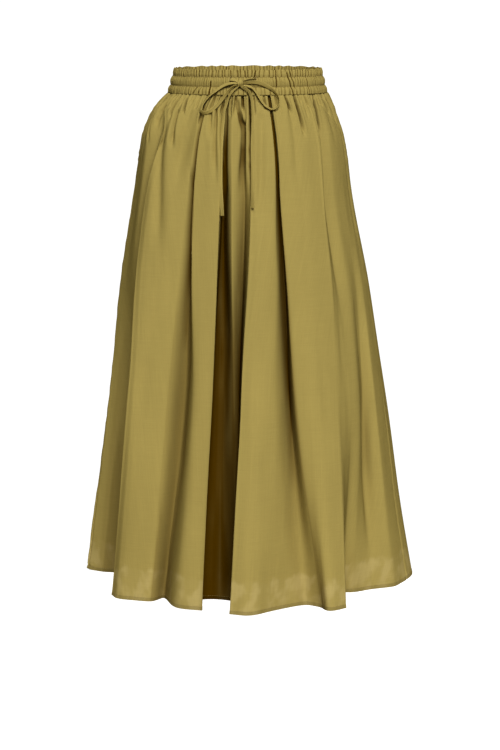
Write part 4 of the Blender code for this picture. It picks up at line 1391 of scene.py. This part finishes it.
class SKIRT_OT_drawstring(bpy.types.Operator):
    """Make the bow: its knot, loops, tails and the leads into the casing"""
    bl_idname = "skirt.drawstring"
    bl_label = "Drawstring"

    def execute(self, context):
        cloth = context.scene.skirt_cloth
        material = cloth_material("tie_poplin", cloth, 1.10)
        pieces, paths = {}, {}
        for name, route in ROUTES.items():
            # The tie starts almost half way into the knot.
            inside = np.array(route[0]) * 0.55 + np.array(KNOT_CENTRE) * 0.45
            piece, path = tie_mesh(
                name.replace("drawstring", "tie"), [tuple(inside), *route], TIES[name], material)
            pieces[name], paths[name] = piece, path
        knot = knot_mesh("tie_knot", material)
        for name, piece in {**pieces, "drawstring_knot": knot}.items():
            claim(piece, "drawstring_cloth", name)
        for name, tie in TIES.items():
            if tie.length is None:
                continue
            path = paths[name]
        return {"FINISHED"}


class SKIRT_OT_waistband(bpy.types.Operator):
    """Make the shirred waistband, its stitch rows and the buttonholes of its casing"""
    bl_idname = "skirt.waistband"
    bl_label = "Waistband"

    def execute(self, context):
        cloth = context.scene.skirt_cloth
        grid = band_grid()
        rows, columns = grid.shape[:2]
        faces = grid_faces(rows, columns, wrap_rows=True, wrap_columns=True)
        row, column = np.divmod(faces, columns)
        past_last = (column == 0) & (column == columns - 1).any(axis=1, keepdims=True)
        uvs = np.stack([np.where(past_last, columns, column) * BAND_CUT[0] / columns,
                        reach_down(grid)[row]], axis=2)
        band = put_mesh("shirred_waistband", grid.reshape(-1, 3), faces, uvs,
                        [cloth_material("band_poplin", cloth, 1.03, folded=True)])
        # Painted shade: the band's colour darkens in its valleys and grooves, by this openness.
        store(band, "openness", band_openness(grid))
        outward(band)
        claim(band, "waistband_cloth", "waistband")
        thread = thread_material("thread", cloth.thread_colour)
        dark = dark_material("slit_painted_shade")
        trim = []
        bearing = np.arange(0, 360.01, 0.12)
        for number, height in enumerate(STITCH_ROWS):
            level = np.full_like(bearing, height)
            path = band_point(bearing, level, band_out(bearing, level))
            normals = band_point(bearing, level, band_out(bearing, level) + 1.0) - path
            trim.append(stitch_mesh(f"band_stitches_{number + 1}", path + normals * THREAD * 0.5,
                                    normals, thread))
        for name, (at, height) in BUTTONHOLES.items():
            trim.extend(buttonhole_mesh(name, at, height, thread, dark))
        for piece in trim:
            claim(piece, "waistband_cloth")
        return {"FINISHED"}


class SKIRT_OT_panels(bpy.types.Operator):
    """Make the front and back panels with their folds, gathers, side seams and stitched hems"""
    bl_idname = "skirt.panels"
    bl_label = "Panels"

    def execute(self, context):
        cloth = context.scene.skirt_cloth
        outer, inner, reach, heights, seam = cloth_surface()
        free = openness(outer)
        material = cloth_material("skirt_poplin", cloth, 1.0, panel=True)
        thread = thread_material("hem_thread", cloth.thread_colour)
        around = outer.shape[1]
        stitched = int(np.argmin(np.abs(heights - HEM_STITCHING)))
        normals = grid_normals(outer)[stitched]
        panels = {"front": (np.arange(0, seam + 1), (1.16, 0.870), 0.78),
                  "back": (np.arange(seam, around + 1) % around, (1.12, 0.870), 0.76)}
        for side, (columns, cut, area) in panels.items():
            across = reach[:, columns].copy()
            # The back ends in the first column of the ring, where the length round it starts over.
            if columns[-1] == 0:
                last_step = np.linalg.norm(outer[:, columns[-1]] - outer[:, columns[-2]], axis=1)
                across[:, -1] = across[:, -2] + last_step
            across -= across[:, [across.shape[1] // 2]]
            piece = wall_mesh(f"gathered_{side}_panel", open_seam(outer[:, columns]),
                              open_seam(inner[:, columns]), across, free[:, columns], [material])
            outward(piece)
            claim(piece, "skirt_cloth", f"{side}_panel")
            path, up = outer[stitched, columns], normals[columns]
            hem = stitch_mesh(f"hem_stitches_{side}", path + up * THREAD * 0.3, up, thread)
            claim(hem, "skirt_cloth")
        return {"FINISHED"}


class SKIRT_PT_pieces(bpy.types.Panel):
    """Lists the pieces of the skirt and their settings"""
    bl_idname = "SKIRT_PT_pieces"
    bl_label = "A-line skirt"
    bl_space_type = "VIEW_3D"
    bl_region_type = "UI"
    bl_category = "Skirt"

    def draw(self, context):
        for operator in OPERATORS:
            self.layout.operator(operator.bl_idname)
        for group in (context.scene.skirt_cloth, context.scene.skirt_stage):
            for name in group.__annotations__:
                self.layout.prop(group, name)


OPERATORS = (SKIRT_OT_stage, SKIRT_OT_drawstring, SKIRT_OT_waistband, SKIRT_OT_panels)
CLASSES = (ClothSettings, StageSettings, *OPERATORS, SKIRT_PT_pieces)


def register():
    """Register the classes and the settings on the scene."""
    for item in CLASSES:
        bpy.utils.register_class(item)
    bpy.types.Scene.skirt_cloth = PointerProperty(type=ClothSettings)
    bpy.types.Scene.skirt_stage = PointerProperty(type=StageSettings)


def unregister():
    """Take the settings and the classes out again."""
    del bpy.types.Scene.skirt_stage
    del bpy.types.Scene.skirt_cloth
    for item in reversed(CLASSES):
        bpy.utils.unregister_class(item)


def main():
    """Make every piece in order."""
    register()
    bpy.ops.skirt.stage()
    bpy.ops.skirt.drawstring()
    bpy.ops.skirt.waistband()
    bpy.ops.skirt.panels()


if __name__ == "__main__":
    main()
